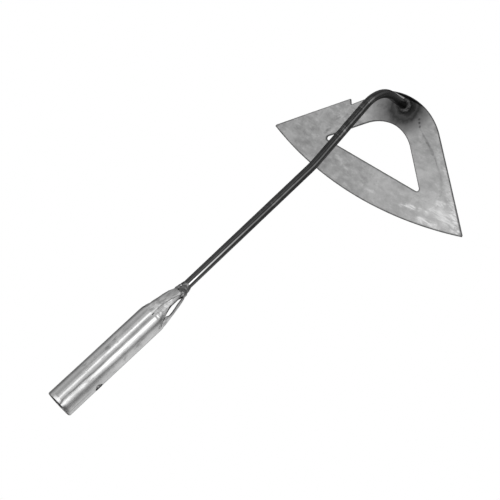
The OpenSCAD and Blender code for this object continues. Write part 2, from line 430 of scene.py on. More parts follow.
def plate_steel():
    mat = new_material("plate_steel")
    edge = mat.attribute("edge_d")            # mm from the plate's outline
    y = mat.xyz()[1] * 1000.0
    v = (mat.vector_math("DOT_PRODUCT", tuple(float(c) for c in ALONG * 1000.0))
         - float(PLATE_O @ ALONG))
    mottle = mat.noise(scale=38, detail=5, rough=0.62)
    cloud = mat.noise(scale=13, detail=3, rough=0.55, distortion=0.6)
    fine = mat.noise(scale=420, detail=2, rough=0.6)
    middle = mat.noise(scale=130, detail=3, rough=0.6)
    base = (mottle * 0.5 + cloud * 0.5).ramp((0.34, 0.345), (0.46, 0.395), (0.56, 0.42),
                                             (0.68, 0.46))
    base = base.mix(to=0.29, by=middle.map(span=(0.54, 0.72), to=(0, 0.30)))
    base = base.mix(to=0.30, by=fine.map(span=(0.35, 0.65), to=(0.0, 0.16)))
    # rolling lines, very faint
    roll = mat.noise(detail=2, rough=0.5, stretch=(700, 25, 700))
    base = base.mix(to=0.30, by=roll.map(span=(0.5, 0.72), to=(0, 0.10)))
    # small dark pits, in drifts
    cells = mat.node("TexVoronoi", {"Scale": 170, "Vector": mat.position}, "Distance")
    drifts = mat.noise(scale=26, detail=2, rough=0.5).map(span=(0.52, 0.64))
    pits = cells.map(span=(0.08, 0.20), to=(1, 0)) * drifts
    base = base.mix(to=0.14, by=pits * 0.38)
    # an almost worn-away curve
    wobble = mat.wobble(size=3.4, scale=210, detail=3, rough=0.6)
    wide_wobble = mat.wobble(size=6.5, scale=120, detail=3, rough=0.6)
    slow_wobble = mat.wobble(size=2.6, scale=55, detail=4, rough=0.6)
    faint = mat.noise(scale=85, detail=4, rough=0.6).map(span=(0.38, 0.58), to=(0.60, 1.25))
    base = base.mix(to=0.15, by=strokes(y, v, WORN_CURVE, wobble + slow_wobble) * faint)
    # small scratches and stains everywhere, none of them strong
    scratch = mat.noise(detail=5, rough=0.72, stretch=(230, 90, 230), turn=0.9, distortion=0.25)
    base = base.mix(to=0.24, by=scratch.map(span=(0.52, 0.66), to=(0.0, 0.50)))
    base = base.mix(to=0.62, by=scratch.map(span=(0.48, 0.34), to=(0.0, 0.46)))
    stain = mat.noise(scale=62, detail=4, rough=0.62, distortion=0.9)
    base = base.mix(to=0.26, by=stain.map(span=(0.52, 0.66), to=(0.0, 0.42)))
    base = base.mix(to=0.58, by=stain.map(span=(0.48, 0.34), to=(0.0, 0.38)))
    # rubbed, brighter metal and clean nicks, mostly on the -Y ear, where the large soft marks are
    # also a painted highlight
    streak = mat.noise(detail=5, rough=0.7, stretch=(420, 90, 420), turn=0.35, distortion=0.8)
    bright = (strokes(y, v, BRIGHT_MARKS, wide_wobble)
              * streak.map(span=(0.40, 0.60), to=(0.12, 1.0)))
    nicks = mat.noise(detail=3, rough=0.6, stretch=(900, 330, 900), turn=-0.5)
    nicks = nicks.map(span=(0.64, 0.70)) * y.map(span=(-70.0, -104.0), to=(0.0, 0.9))
    bright = bright.math("MAXIMUM", nicks)
    base = base.mix(to=0.86, by=bright)
    # painted highlight: lighter metal on the cutting side of the window, towards -Y
    minus_y_highlight = (y.map(span=(-25.0, 18.0), to=(1.0, 0.0), smooth=True)
             * v.map(span=(30.0, 60.0), to=(1.0, 0.0), smooth=True))
    base = base.mix(to=0.80, by=minus_y_highlight * 0.16)
    # heat stain round the weld, reaching further towards +Y
    heat_y = y + 2.5
    heat = length(heat_y, v - 79.0) * heat_y.map(span=(-16, 26), to=(1.10, 0.82))
    heat = heat + mat.wobble(size=8.0, scale=75, detail=3, rough=0.55)
    heat = heat + mat.wobble(size=6.0, scale=230, detail=4, rough=0.6)
    base = base.mix(to=(heat / 40.0).ramp(*HEAT_RINGS),
                    by=heat.map(span=(27.0, 40.0), to=(1.0, 0.0), smooth=True))
    broken = mat.noise(scale=240, detail=4, rough=0.65, distortion=0.4)
    broken = broken.map(span=(0.36, 0.56), to=(0.25, 1.0))
    base = base.mix(to=0.08, by=strokes(y, v, DARK_MARKS, wide_wobble) * broken)
    base = base.mix(to=0.05, by=strokes(y, v, DIMPLES, wobble * 0.3))
    # near-black beyond a straight line near the apex, with a painted highlight line beside it
    line_wobble = mat.wobble(size=1.0, scale=260, detail=2, rough=0.5)
    apex_black = ((v + line_wobble).map(span=(85.0, 85.5))
            * (y + 2.0).math("ABSOLUTE").map(span=(17.5, 21.0), to=(1.0, 0.0)))
    base = base.mix(to=0.003, by=apex_black)
    base = base.mix(to=0.42, by=strokes(y, v, HIGHLIGHT_LINE, line_wobble * 0.4) * 0.85)
    # the sheared edges are darker, most of all along the cutting edge
    rim = edge + (middle - 0.5) * 1.0
    rim = rim / v.map(span=(12.0, 24.0), to=(1.35, 1.0))
    base = base.mix(to=0.06, by=rim.map(span=(0.30, 1.35), to=(1.0, 0.0), smooth=True) * 0.88)
    rough = (mottle.map(span=(0.3, 0.7), to=(0.50, 0.38))
             + fine.map(span=(0.3, 0.7), to=(-0.03, 0.05)))
    rough = rough - bright * 0.10 + apex_black * 0.35
    height = fine * 0.4 + mottle * 0.6 - pits * 0.5 + roll * 0.12
    return mat.finish(mat.principled(
        Base_Color=base, Metallic=0.74 - apex_black * 0.6, Roughness=rough,
        Normal=mat.bump(height, strength=0.30, distance=0.00025),
        Specular_IOR_Level=apex_black.map(span=(0, 1), to=(0.5, 0.05))))


# ---------------------------------------------------------------- the other materials
def mill_scale_steel():
    mat = new_material("mill_scale_steel")
    lines = mat.noise(detail=4, rough=0.6, stretch=(22, 160, 160))
    mottle = mat.noise(scale=150, detail=4, rough=0.65)
    patch = mat.noise(scale=34, detail=3, rough=0.5)
    base = (lines * 0.5 + mottle * 0.5).ramp((0.32, 0.055), (0.50, 0.075), (0.62, 0.090),
                                             (0.75, 0.13))
    scuff = patch.map(span=(0.54, 0.64)) * mottle.map(span=(0.50, 0.62))
    base = base.mix(to=0.19, by=scuff * 0.5)

    # bare nicks where the bar was gripped for bending
    def nicks(point, reach, stretch, shift, low):
        near = mat.distance(point).map(span=(0.004, reach), to=(1, 0), smooth=True)
        grain = mat.noise(detail=2, rough=0.5, stretch=stretch, shift=shift)
        return near * grain.map(span=(low, 0.62))

    first = nicks(point=(353, 0, 13.5), reach=0.016, stretch=(620, 90, 90),
                  shift=(0, 0, 0), low=0.54)
    second = nicks(point=(384, 0, 18.0), reach=0.013, stretch=(560, 120, 120),
                   shift=(0.4, 0, 0), low=0.53)
    base = base.mix(to=0.26, by=first.math("MAXIMUM", second) * 0.55)
    rough = lines.map(span=(0.3, 0.7), to=(0.09, 0.15)) + mottle.map(span=(0.5, 0.7)) * 0.07
    normal = mat.bump(lines * 0.4 + mottle * 0.6, strength=0.35, distance=0.00022)
    # brushed clean next to the nose weld
    near = mat.xyz()[0].map(span=(0.156, 0.215), to=(1.0, 0.0), smooth=True)
    base = base.mix(to=0.20, by=near * 0.25)
    rough = rough * (1.0 - near * 0.55)
    # painted highlight and shade round the bar, and a brightness change along it
    around = mat.attribute("painted_round_light").ramp((0.0, 0.0), (1.0, 1.0))
    base = base.mix(to=around, by=1.0, blend="MULTIPLY")
    # positions are x in metres, doubled
    along = (mat.xyz()[0] * 2.0).ramp((0.31, 1.15), (0.37, 1.22), (0.44, 1.25), (0.52, 1.22),
                                      (0.60, 1.02), (0.72, 0.84))
    base = base.mix(to=along, by=1.0, blend="MULTIPLY")
    # a painted highlight streak along one side of the bar, near the nose
    base = base.mix(to=0.72, by=mat.attribute("painted_streak") * 0.95)
    far = mat.xyz()[0].map(span=(0.27, 0.36), smooth=True)
    rough = rough + far * patch.map(span=(0.40, 0.60), to=(0.13, 0.05))
    return mat.finish(mat.principled(Base_Color=base, Metallic=0.92, Roughness=rough,
                                     Normal=normal))


def galvanised_steel():
    mat = new_material("galvanised_steel")
    lines = mat.noise(detail=4, rough=0.6, stretch=(9, 150, 150))
    cloud = mat.noise(scale=45, detail=4, rough=0.6)
    fine = mat.noise(scale=330, detail=3, rough=0.6)
    spot = mat.noise(scale=150, detail=3, rough=0.6)
    base = (lines * 0.5 + cloud * 0.5).ramp((0.30, 0.48), (0.48, 0.58), (0.62, 0.67),
                                            (0.78, 0.76))
    base = base.mix(to=0.40, by=spot.map(span=(0.52, 0.70), to=(0.0, 0.28)))
    base = base.mix(to=0.42, by=fine.map(span=(0.35, 0.7), to=(0.0, 0.22)))
    # small dark handling scuffs, denser towards the mouth
    scuff = mat.noise(detail=3, rough=0.6, stretch=(90, 260, 260), shift=(0.3, 0.1, 0))
    density = (mat.noise(scale=24, detail=2, rough=0.5).map(span=(0.47, 0.60))
               + mat.xyz()[0].map(span=(0.0, 0.045), to=(0.5, 0.0)))
    scuff = scuff.map(span=(0.59, 0.68)).math("MULTIPLY", density, clamp=True)
    base = base.mix(to=0.20, by=scuff * 0.55)
    # greasy grey film round the mouth, on the side with the screw hole
    film = mat.noise(detail=4, rough=0.65, stretch=(60, 170, 170), shift=(0.7, 0, 0))
    grime = mat.attribute("grime") * film.map(span=(0.38, 0.60), to=(0.40, 1.0))
    base = base.mix(to=0.26, by=grime * 0.80)
    # isolated darker blotches further along that side
    blotch = mat.noise(detail=3, rough=0.6, stretch=(110, 230, 230), shift=(0.2, 0, 0))
    blotch = mat.attribute("blot") * blotch.map(span=(0.55, 0.66))
    base = base.mix(to=0.20, by=blotch * 0.62)
    seam = mat.noise(detail=3, rough=0.6, stretch=(110, 300, 300))
    seam = mat.attribute("seam") * seam.map(span=(0.36, 0.58), to=(0.45, 1.0))
    base = base.mix(to=0.13, by=seam * 0.80)
    # hammered tongues, streaky, and smoke-greyed towards the weld
    worked = mat.attribute("worked")
    hammer = mat.noise(detail=4, rough=0.65, stretch=(120, 330, 330))
    base = base.mix(to=0.76, by=worked * hammer.map(span=(0.42, 0.64), to=(0.0, 0.70)))
    base = base.mix(to=0.27, by=worked * hammer.map(span=(0.54, 0.36), to=(0.0, 0.72)))
    smoke = mat.xyz()[0].map(span=(0.122, 0.138), to=(0.0, 0.66))
    base = base.mix(to=0.27, by=worked * smoke)
    # darker cut faces, scuffs and bands, and painted shade on the tongues' cut edges, beside the
    # lapped tongues, round a slit root, along a line by the hole and at the screw hole
    base = base.mix(to=0.022, by=mat.attribute("cut") * 0.96)
    # filed bright metal on the mouth's bevel, partly a painted highlight; painted shade inside
    # the tube
    bevel = mat.attribute("bevel")
    base = base.mix(to=0.97, by=bevel * 0.95)
    inner = mat.attribute("inner")
    base = base.mix(to=cloud.ramp((0.35, 0.028), (0.65, 0.060)), by=inner * 0.97)
    rough = (lines.map(span=(0.3, 0.7), to=(0.13, 0.24))
             + cloud.map(span=(0.3, 0.7), to=(-0.03, 0.05)))
    rough = rough + mat.attribute("worked") * 0.12
    rough = rough + inner * 0.30 + grime * 0.10 + bevel * 0.30
    height = lines * 0.5 + cloud * 0.4 + spot * 0.3
    return mat.finish(mat.principled(
        Base_Color=base, Metallic=0.90, Roughness=rough,
        Normal=mat.bump(height, strength=0.35, distance=0.00028)))


# dark patches and bright spots on the nose bead, the bright ones painted highlights, then one
# pin-hole:
# x, angle in degrees, distance from the axis, spot radius, brightness
NOSE_SPOTS = [
    (144.6, 133, 6.0, 3.1, 0.072), (141.4, 138, 6.5, 2.6, 0.085), (148.2, 124, 5.4, 2.2, 0.090),
    (142.7, 146, 6.3, 0.8, 0.22), (139.5, 163, 6.7, 0.8, 0.55), (146.5, 87, 5.6, 0.75, 0.95),
    (151.0, 129, 4.8, 0.75, 0.5), (147.3, 138, 5.4, 0.55, 0.30), (142.9, 146, 6.3, 0.75, 0.30),
    (140.7, 94, 6.4, 0.9, 0.95),
    (142.2, 102, 6.3, 0.95, 0.004)]


def weld_metal(name, tones, rough, metallic, spots=()):
    mat = new_material(name)
    mottle = mat.noise(scale=260, detail=4, rough=0.65)
    blob = mat.noise(scale=120, detail=3, rough=0.5)
    base = mottle.ramp(*tones)
    if spots:
        jitter = mat.wobble(size=0.0010, scale=900, detail=2, rough=0.5)
    for x, degrees, radius, size, grey in spots:
        angle = math.radians(degrees)
        centre = (x, radius * math.cos(angle), radius * math.sin(angle))
        off = mat.distance(centre) + jitter
        base = base.mix(to=grey, by=off.map(span=(size * 0.5 * MM, size * 1.15 * MM),
                                            to=(1.0, 0.0), smooth=True))
    return mat.finish(mat.principled(
        Base_Color=base, Metallic=metallic, Roughness=blob.map(span=(0.35, 0.65), to=rough),
        Normal=mat.bump(mottle, strength=0.5, distance=0.0003)))


# ---------------------------------------------------------------- bar
def bar_path():
    """Centreline points (x, z) and slopes."""
    reach_1 = BEND_1_R * math.tan((RISE_2 - RISE_1) / 2)
    reach_2 = BEND_2_R * math.tan((RISE_2 + FALL) / 2)
    points, slopes = [], []

    def line(start, end, slope, spacing):
        count = max(1, int(math.dist(start, end) / spacing))
        for k in range(count):
            points.append([p + (q - p) * k / count for p, q in zip(start, end)])
            slopes.append(slope)

    def arc(start, radius, slope_0, slope_1, side, spacing):
        """side is 1 when the bend's centre lies below the bar, -1 when above."""
        x = start[0] + side * radius * math.sin(slope_0)
        z = start[1] - side * radius * math.cos(slope_0)
        count = max(2, int(abs(slope_1 - slope_0) * radius / spacing))
        for k in range(count):
            slope = slope_0 + (slope_1 - slope_0) * k / count
            points.append((x - side * radius * math.sin(slope),
                           z + side * radius * math.cos(slope)))
            slopes.append(slope)

    def from_bend(x, z, reach, slope):
        return (x + reach * math.cos(slope), z + reach * math.sin(slope))

    start = (BAR_START, LIFT + (BAR_START - TIP_X) * math.tan(RISE_1))
    into_1 = from_bend(BEND_1_X, BEND_1_Z, -reach_1, RISE_1)
    out_1 = from_bend(BEND_1_X, BEND_1_Z, reach_1, RISE_2)
    into_2 = from_bend(BEND_2_X, BEND_2_Z, -reach_2, RISE_2)
    out_2 = from_bend(BEND_2_X, BEND_2_Z, reach_2, -FALL)
    end = (BAR_END[0], BAR_END[2])
    line(start, into_1, RISE_1, spacing=1.1)
    arc(into_1, BEND_1_R, RISE_1, RISE_2, side=-1, spacing=0.7)
    line(out_1, into_2, RISE_2, spacing=1.0)
    arc(into_2, BEND_2_R, RISE_2, -FALL, side=1, spacing=0.7)
    line(out_2, end, -FALL, spacing=0.8)
    points.append(end)
    slopes.append(-FALL)
    return np.array(points), np.array(slopes)


# painted highlight and shade round the bar: degrees, value; and how far the painted highlight
# streak runs: x, strength
ROUND_LIGHT = [(0, 0.60), (85, 0.68), (98, 0.58), (108, 0.42), (122, 0.38), (130, 0.98), (150, 1.45),
       (175, 1.0), (200, 0.42), (360, 0.44)]
HIGHLIGHT_REACH = [(150, 1.0), (154, 1.0), (160, 0.9), (168, 0.62), (182, 0.36), (205, 0.15), (235, 0.0)]


def build_bar(material):
    path, slopes = bar_path()
    count, sides = len(path), 64
    angle = np.arange(sides) / sides * 2 * math.pi
    run = np.r_[0, np.cumsum(np.hypot(*np.diff(path, axis=0).T))]
    rings = []
    for (x, z), slope in zip(path, slopes):
        up = np.array([-math.sin(slope), 0, math.cos(slope)])
        rings.append(np.array([x, 0, z]) + BAR_R * (np.cos(angle)[:, None] * ACROSS
                                                    + np.sin(angle)[:, None] * up))
    rings = np.array(rings)

    def run_at(x):
        return run[np.argmin(abs(path[:, 0] - x))]

    # the short leg leans towards -Y
    lean = -LEAN * smoothstep(run_at(BEND_2_X - 6) - 14, run[-1], run)
    rings[:, :, 1] += lean[:, None]
    centres = np.c_[path[:, 0], lean, path[:, 1]]
    # shallow waves and pits, a flattened bend, and flats where the bar was gripped
    radial = rings - centres[:, None, :]
    radial /= np.linalg.norm(radial, axis=2)[:, :, None]
    offset = noise(rings.reshape(-1, 3), (0.030, (40, 6, 6), 3), (0.022, (6, 3.0, 3.0), 5),
                   (0.014, (1.6, 1.2, 1.2), 7))
    offset = offset.reshape(count, sides) - 0.03
    bend_1, bend_2 = run_at(350), run_at(398)
    upper = np.maximum(np.sin(angle)[None, :], 0)
    offset = offset - 0.10 * bell(run[:, None], bend_2, 16.0) * upper ** 2
    # run, angle in radians, depth
    flats = ((bend_1, 2.2, 0.16), (bend_1 + 9, 2.4, 0.12), (bend_1 - 26, 1.9, 0.10),
             (bend_2 - 18, 2.0, 0.12))
    for place, around, depth in flats:
        offset = offset - (depth * bell(run[:, None], place, 2.6)
                           * bell(wrap(angle[None, :] - around), 0, 0.5))
    rings = rings + radial * offset[:, :, None]
    # the far end is cut to sit on the plate
    axis = np.array([math.cos(-FALL), 0, math.sin(-FALL)])
    fitted = 14
    for i in range(count - fitted, count):
        part = (i - (count - fitted - 1)) / fitted
        height = (rings[i] - PLATE_O) @ PLATE_UP
        target = 0.02 + (centres[i] - PLATE_O) @ PLATE_UP
        rings[i] += np.outer((target - height) * part / (axis @ PLATE_UP), axis)
    numbers = np.arange(count * sides).reshape(count, sides)
    faces = []
    for lower, upper in zip(numbers[:-1], numbers[1:]):
        faces += band(lower, upper)
    # end caps, with a small chamfer at the hidden end
    start_axis = np.array([math.cos(RISE_1), 0, math.sin(RISE_1)])
    chamfer = centres[0] + (rings[0] - centres[0]) * 0.86 - start_axis * 0.5
    cap = count * sides
    points = np.r_[rings.reshape(-1, 3), chamfer, [centres[0] - start_axis * 0.5],
                   [centres[-1]]]
    start_centre, end_centre = cap + sides, cap + sides + 1
    for j in range(sides):
        k = (j + 1) % sides
        faces.append((cap + j, cap + k, k, j))
        faces.append((start_centre, cap + k, cap + j))
        faces.append((end_centre, numbers[-1][j], numbers[-1][k]))
    degrees = np.degrees(angle)
    ring_light = np.interp(degrees, *zip(*ROUND_LIGHT))
    painted_round_light = np.r_[np.tile(ring_light, count), ring_light, [0.7, 0.7]]
    # painted highlight streak at 138 degrees round the bar
    painted_streak = np.tile(bell(degrees, 138.0, 10.0, 4), count)
    painted_streak = painted_streak * np.interp(rings[:, :, 0].ravel(), *zip(*HIGHLIGHT_REACH))
    make_piece("shank_bar", points, faces, material, "shank", sharp=50,
               attributes={"painted_round_light": painted_round_light, "painted_streak": np.r_[painted_streak, np.zeros(sides + 2)]})


# ---------------------------------------------------------------- blade
SIDE_SLOPE = math.radians(42.2)
EAR_Y = 125.9
EDGE_R, EDGE_BOW = 444.8, 19.5                 # the cutting edge's arc
STEP = np.array([56.2, 55.0])                  # inner corner of the step in the +Y side
STEP_DIRECTION = np.array([7.6, 9.0])
CUT_BACK = np.array([-1.0, math.tan(math.radians(44.3))])     # direction above the step
WINDOW_R, WINDOW_TOP, WINDOW_SLOPE = 43.5, 57.6, math.radians(42.6)
WINDOW_BASE, WINDOW_CORNER_R = 13.7, 2.0


def blade_outline():
    """The outer outline in (y, v), counter-clockwise from the -Y ear."""
    sine, cosine = math.sin(SIDE_SLOPE), math.cos(SIDE_SLOPE)
    edge_centre = EDGE_R - EDGE_BOW
    ear_low = edge_centre - math.sqrt(EDGE_R * EDGE_R - EAR_Y * EAR_Y)
    ear_high = APEX_V + (APEX_R - EAR_Y * sine) / cosine
    corners = [(np.array([-EAR_Y, ear_low]), 0.55)]

    def add(y, v, radius=0):
        corners.append((np.array([y, v], float), radius))

    half = math.asin(EAR_Y / EDGE_R)
    for k in range(1, 120):
        angle = -half + 2 * half * k / 120
        add(EDGE_R * math.sin(angle), edge_centre - EDGE_R * math.cos(angle))
    add(EAR_Y, ear_low, 0.55)
    add(EAR_Y, ear_high, 0.6)
    # up the +Y side to the step
    normal = np.array([sine, cosine])
    from_apex = STEP - np.array([0, APEX_V])
    reach = (APEX_R - from_apex @ normal) / (STEP_DIRECTION @ normal)
    add(*(STEP + STEP_DIRECTION * reach), 0.6)
    add(*STEP, 0.7)
    # the cut-back edge runs on until it meets the apex's arc
    square, linear = CUT_BACK @ CUT_BACK, 2 * from_apex @ CUT_BACK
    constant = from_apex @ from_apex - APEX_R * APEX_R
    root = math.sqrt(linear * linear - 4 * square * constant)
    meet = STEP + CUT_BACK * ((-linear + root) / (2 * square))
    add(*meet, 6.0)
    first = math.atan2(meet[0], meet[1] - APEX_V)
    for k in range(3, 61):
        angle = first + (-SIDE_SLOPE - first) * k / 60
        add(APEX_R * math.sin(angle), APEX_V + APEX_R * math.cos(angle))
    add(-EAR_Y, ear_high, 0.6)
    return drop_repeats(densify(fillet(corners), 1.1))


def window_outline():
    """The window in (y, v): an arc at the top and two rounded corners, counter-clockwise."""
    arc_v, corner_v = WINDOW_TOP - WINDOW_R, WINDOW_BASE + WINDOW_CORNER_R
    corner_y = ((WINDOW_R - WINDOW_CORNER_R - (corner_v - arc_v) * math.cos(WINDOW_SLOPE))
                / math.sin(WINDOW_SLOPE))
    turn = math.pi - WINDOW_SLOPE
    # centre y, centre v, radius, first angle, sweep, steps
    arcs = ((0, arc_v, WINDOW_R, -WINDOW_SLOPE, 2 * WINDOW_SLOPE, 60),
            (corner_y, corner_v, WINDOW_CORNER_R, WINDOW_SLOPE, turn, 16),
            (-corner_y, corner_v, WINDOW_CORNER_R, math.pi, turn, 16))
    points = []
    for y, v, radius, first, sweep, steps in arcs:
        for k in range(steps + 1):
            angle = first + sweep * k / steps
            points.append((y + radius * math.sin(angle), v + radius * math.cos(angle)))
    return drop_repeats(densify(np.array(points), 1.0)[::-1])


def warp(points):
    """How far the plate strays from flat, mm, at points (y, v)."""
    y = points[:, 0]
    height = noise(np.c_[points, np.zeros(len(points))], (0.16, 55, 11), (0.07, 22, 12))
    height += -0.22 * bell(np.hypot(y, points[:, 1] - WELD_V), 0, 16.0)
    # the ears curl by a hair
    minus_ear, plus_ear = np.clip((-y - 82) / 44, 0, 1), np.clip((y - 82) / 44, 0, 1)
    height += 0.55 * minus_ear ** 2 - 0.25 * plus_ear ** 2
    return height


# rounded edge of the plate: inset from the outline, depth below the upper face
EDGE_PROFILE = [(0.45, 0.0), (0.20, 0.03), (0.06, 0.12), (0.0, 0.30), (0.0, 0.95), (0.02, 1.55),
                (0.10, 1.85), (0.24, 1.97), (0.45, PLATE_T)]


def inner_triangles(points, first, second):
    """The triangles reached from an inner point without crossing an outline."""
    edges, triangles = triangulate(points, first, second)
    outline = {(min(e), max(e)) for e in edges}
    sides = [[(min(e), max(e)) for e in ((t[0], t[1]), (t[1], t[2]), (t[2], t[0]))]
             for t in triangles.tolist()]
    by_side = {}
    for number, keys in enumerate(sides):
        for key in keys:
            by_side.setdefault(key, []).append(number)
    todo = [n for n, t in enumerate(triangles.tolist()) if max(t) >= first + second]
    kept = set(todo)
    while todo:
        for key in sides[todo.pop()]:
            for number in ([] if key in outline else by_side[key]):
                if number not in kept:
                    kept.add(number)
                    todo.append(number)
    triangles = triangles[sorted(kept)]
    a, b, c = (points[triangles[:, k]] for k in range(3))
    area = (b[:, 0] - a[:, 0]) * (c[:, 1] - a[:, 1]) - (b[:, 1] - a[:, 1]) * (c[:, 0] - a[:, 0])
    triangles[area < 0] = triangles[area < 0][:, ::-1]
    return triangles


def build_blade(material):
    outer, window = blade_outline(), window_outline()
    # loop, outward normals, direction of the inset
    outlines = ((outer, loop_normals(outer), 1), (window, loop_normals(window), -1))
    points, edge_distance, faces = [], [], []
    loops = ([], [])
    for k, (inset, depth) in enumerate(EDGE_PROFILE):
        for (loop, normals, side), numbers in zip(outlines, loops):
            moved = loop - normals * inset * side
            if 1 <= k <= 6:
                # ragged sheared edge
                jag = noise(np.c_[loop, np.full(len(loop), k * 0.7)], (0.035, 2.2, 31))
                moved = moved + normals * jag[:, None] - normals * 0.04
            start = sum(len(p) for p in points)
            numbers.append(np.arange(start, start + len(loop)))
            points.append(np.c_[moved, warp(moved) - depth])
            edge_distance.append(np.full(len(loop), inset))
    for k in range(len(EDGE_PROFILE) - 1):
        for numbers, flip in zip(loops, (False, True)):
            faces += band(numbers[k], numbers[k + 1], flip=flip, side_first=True)

    def clear_of(candidates, distance):
        return candidates[(loop_distance(candidates, outer) > distance)
                          & (loop_distance(candidates, window) > distance)]

    # interior points, shared by the two faces of the plate
    top_loops = [loop - normals * EDGE_PROFILE[0][0] * side for loop, normals, side in outlines]
    spacing = 2.4
    grid_y, grid_v = np.meshgrid(np.arange(-127, 127.1, spacing),
                                 np.arange(-21, 90, spacing * 0.866))
    grid_y = grid_y + (np.arange(grid_y.shape[0]) % 2)[:, None] * spacing / 2
    grid = np.c_[grid_y.ravel(), grid_v.ravel()]
    grid = clear_of(grid[in_loop(grid, top_loops[0]) & ~in_loop(grid, top_loops[1])], 2.1)
    # a gentle scatter hides the grid
    flat = np.c_[grid, 0 * grid[:, 0]]
    grid = grid + 0.25 * np.c_[one_noise(flat, 1.7, 21), one_noise(flat, 1.7, 22)]
    near = clear_of(np.concatenate([loop - normals * 1.15 * side
                                    for loop, normals, side in outlines]), 1.1)
    grid = np.r_[near, grid]
    triangles = inner_triangles(np.r_[top_loops[0], top_loops[1], grid], len(outer), len(window))
    distance = np.minimum(loop_distance(grid, outer), loop_distance(grid, window))
    top_start = sum(len(p) for p in points)
    points += [np.c_[grid, warp(grid)], np.c_[grid, warp(grid) - PLATE_T]]
    edge_distance += [distance, distance]
    inside = top_start + np.arange(len(grid))
    top = np.r_[loops[0][0], loops[1][0], inside]
    bottom = np.r_[loops[0][-1], loops[1][-1], inside + len(grid)]
    # a counter-clockwise triangle in (y, v) faces down
    for triangle in triangles:
        faces += [tuple(top[triangle][::-1]), tuple(bottom[triangle])]
    local = np.concatenate(points)
    y, v = local[:, 0], local[:, 1]
    placed = PLATE_O + local[:, 0:1] * ACROSS + local[:, 1:2] * ALONG + local[:, 2:3] * PLATE_UP
    # wear towards the -Y ear and near the cutting edge; a near-black patch at the apex
    worn = 0.95 * smoothstep(-84, -120, y)
    worn += 0.45 * np.exp(-(((y + 72) / 26) ** 2 + (v / 7.5) ** 2))
    worn += 0.30 * np.exp(-(((y + 98) / 16) ** 2 + ((v - 14.0) / 10) ** 2))
    angle = np.degrees(np.arctan2(y, v - APEX_V))
    apex_black = bell(loop_distance(local[:, :2], outer), 0, 2.3) * bell(angle, -12.0, 16.0, 4)
    return make_piece("blade_plate", placed, faces, material, "blade", sharp=55,
                      attributes={"edge_d": np.concatenate(edge_distance),
                                  "weld_d": np.hypot(y, v - WELD_V),
                                  "worn": np.clip(worn, 0, 1), "apex_black": np.clip(apex_black, 0, 1)})


# ---------------------------------------------------------------- socket tube
def slit(x, low, high, x_high=None):
    """Angles in degrees of a slit's two sides at stations x; the first is the slit's root."""
    return {"root": low[0], "low": (x, low), "high": (x_high or x, high)}


SLITS = [
    slit(x=[108.4, 108.9, 109.6, 112.0, 116.6, 123, 130, 136, 139, 142, 145],
         low=[62, 58.5, 56.5, 54.0, 50.2, 45.5, 41.0, 41.5, 52, 70.5, 72],
         high=[62, 65.0, 65.5, 60.0, 53.0, 47.0, 42.6, 43.2, 54, 73, 76]),
    slit(x=[108.4, 108.9, 109.8, 110.8, 112, 117, 121, 125.8, 131.3, 137.2, 139.1, 143, 145],
         low=[121.4, 118.6, 118.2, 119.2, 118.8, 115.7, 114.1, 117.5, 124.4, 136.6, 144.6,
              151.0, 152.8],
         high=[121.4, 123.2, 122.4, 119.9, 119.4, 116.3, 114.8, 118.3, 125.3, 137.5, 145.6,
               152.8, 155.0]),
    slit(x=[108.4, 108.9, 109.6, 110.6, 113, 116.2, 117.2, 118.4, 119.9, 123.5, 125.6, 127.4,
            129.6, 131.9, 134.3, 137.2, 139, 145],
         low=[183, 180.4, 177.6, 175.2, 171.7, 168.6, 167.4, 165.0, 163.4, 160.6, 158.6, 154.6,
              154.6, 157.1, 158.6, 161.0, 166.4, 170.5],
         x_high=[108.4, 108.9, 109.6, 110.6, 113, 116.2, 117.2, 118.4, 119.8, 121.6, 124, 127.6,
                 129.6, 132.0, 134.5, 137.6, 140.5, 143, 145],
         high=[183, 183.4, 179.6, 176.4, 172.9, 169.6, 169.4, 175.5, 181.5, 183.6, 183.2, 181.4,
               177.8, 173.6, 171.6, 171.8, 172.6, 173.0, 173.6]),
    slit(x=[108.4, 109.0, 110, 112, 117, 120, 122.5, 127.7, 133.5, 137.5, 140.5, 143, 145],
         low=[252, 250, 247, 245, 240, 238, 236.6, 235.6, 235.4, 235.6, 237.0, 238, 238.5],
         x_high=[108.4, 109.0, 110, 112, 117, 120, 122.5, 127.7, 131, 134.5, 137.4, 139.4,
                 141.2, 143, 145],
         high=[252, 254.6, 257, 261, 270, 276, 278, 278, 279, 277, 270, 256, 244, 240.5,
               240.5]),
    slit(x=[108.4, 109.0, 110, 117, 127, 137, 145],
         low=[307, 304.4, 305.2, 305.8, 305.0, 304.2, 303.2],
         high=[307, 309.6, 308.8, 308.2, 309.2, 310.4, 311.4]),
    slit(x=[108.4, 109.0, 110, 117, 127, 137, 145],
         low=[362, 359.4, 360.2, 360.8, 360.3, 359.6, 358.6],
         high=[362, 364.6, 363.8, 363.2, 363.8, 364.8, 366.0])]
# x, angle where tongue 1's bright face ends and the painted shade on its turned-down edge begins
FOLD = [(116.0, 176.0), (117.4, 166.0), (119.1, 159.0), (121.5, 155.0), (123.4, 151.8),
        (126.1, 147.6), (128.2, 153.0), (129.5, 160.0), (131.0, 180.0)]

# how far each tongue's middle stands from the tube's axis, by x
MIDDLE_X = [107.0, 109.0, 111.0, 113.0, 115.5, 118.0, 121.0, 124.5, 128.0, 131.5, 135.0, 138.0,
            140.5, 142.5, 145.0]
MIDDLE_PLUS_Y = [13.25, 13.12, 12.62, 12.05, 11.42, 10.84, 10.18, 9.36, 8.60, 7.92, 7.20, 6.52,
                 5.95, 5.62, 5.5]
MIDDLE_MAIN = [13.25, 13.10, 12.60, 12.02, 11.35, 10.72, 10.00, 9.16, 8.34, 7.60, 6.84, 6.20,
               5.70, 5.46, 5.4]
MIDDLE_MINUS_Y = [13.25, 13.10, 12.72, 12.38, 12.0, 11.55, 11.02, 10.45, 9.85, 9.15, 8.42, 7.62,
                  6.95, 6.42, 5.95]
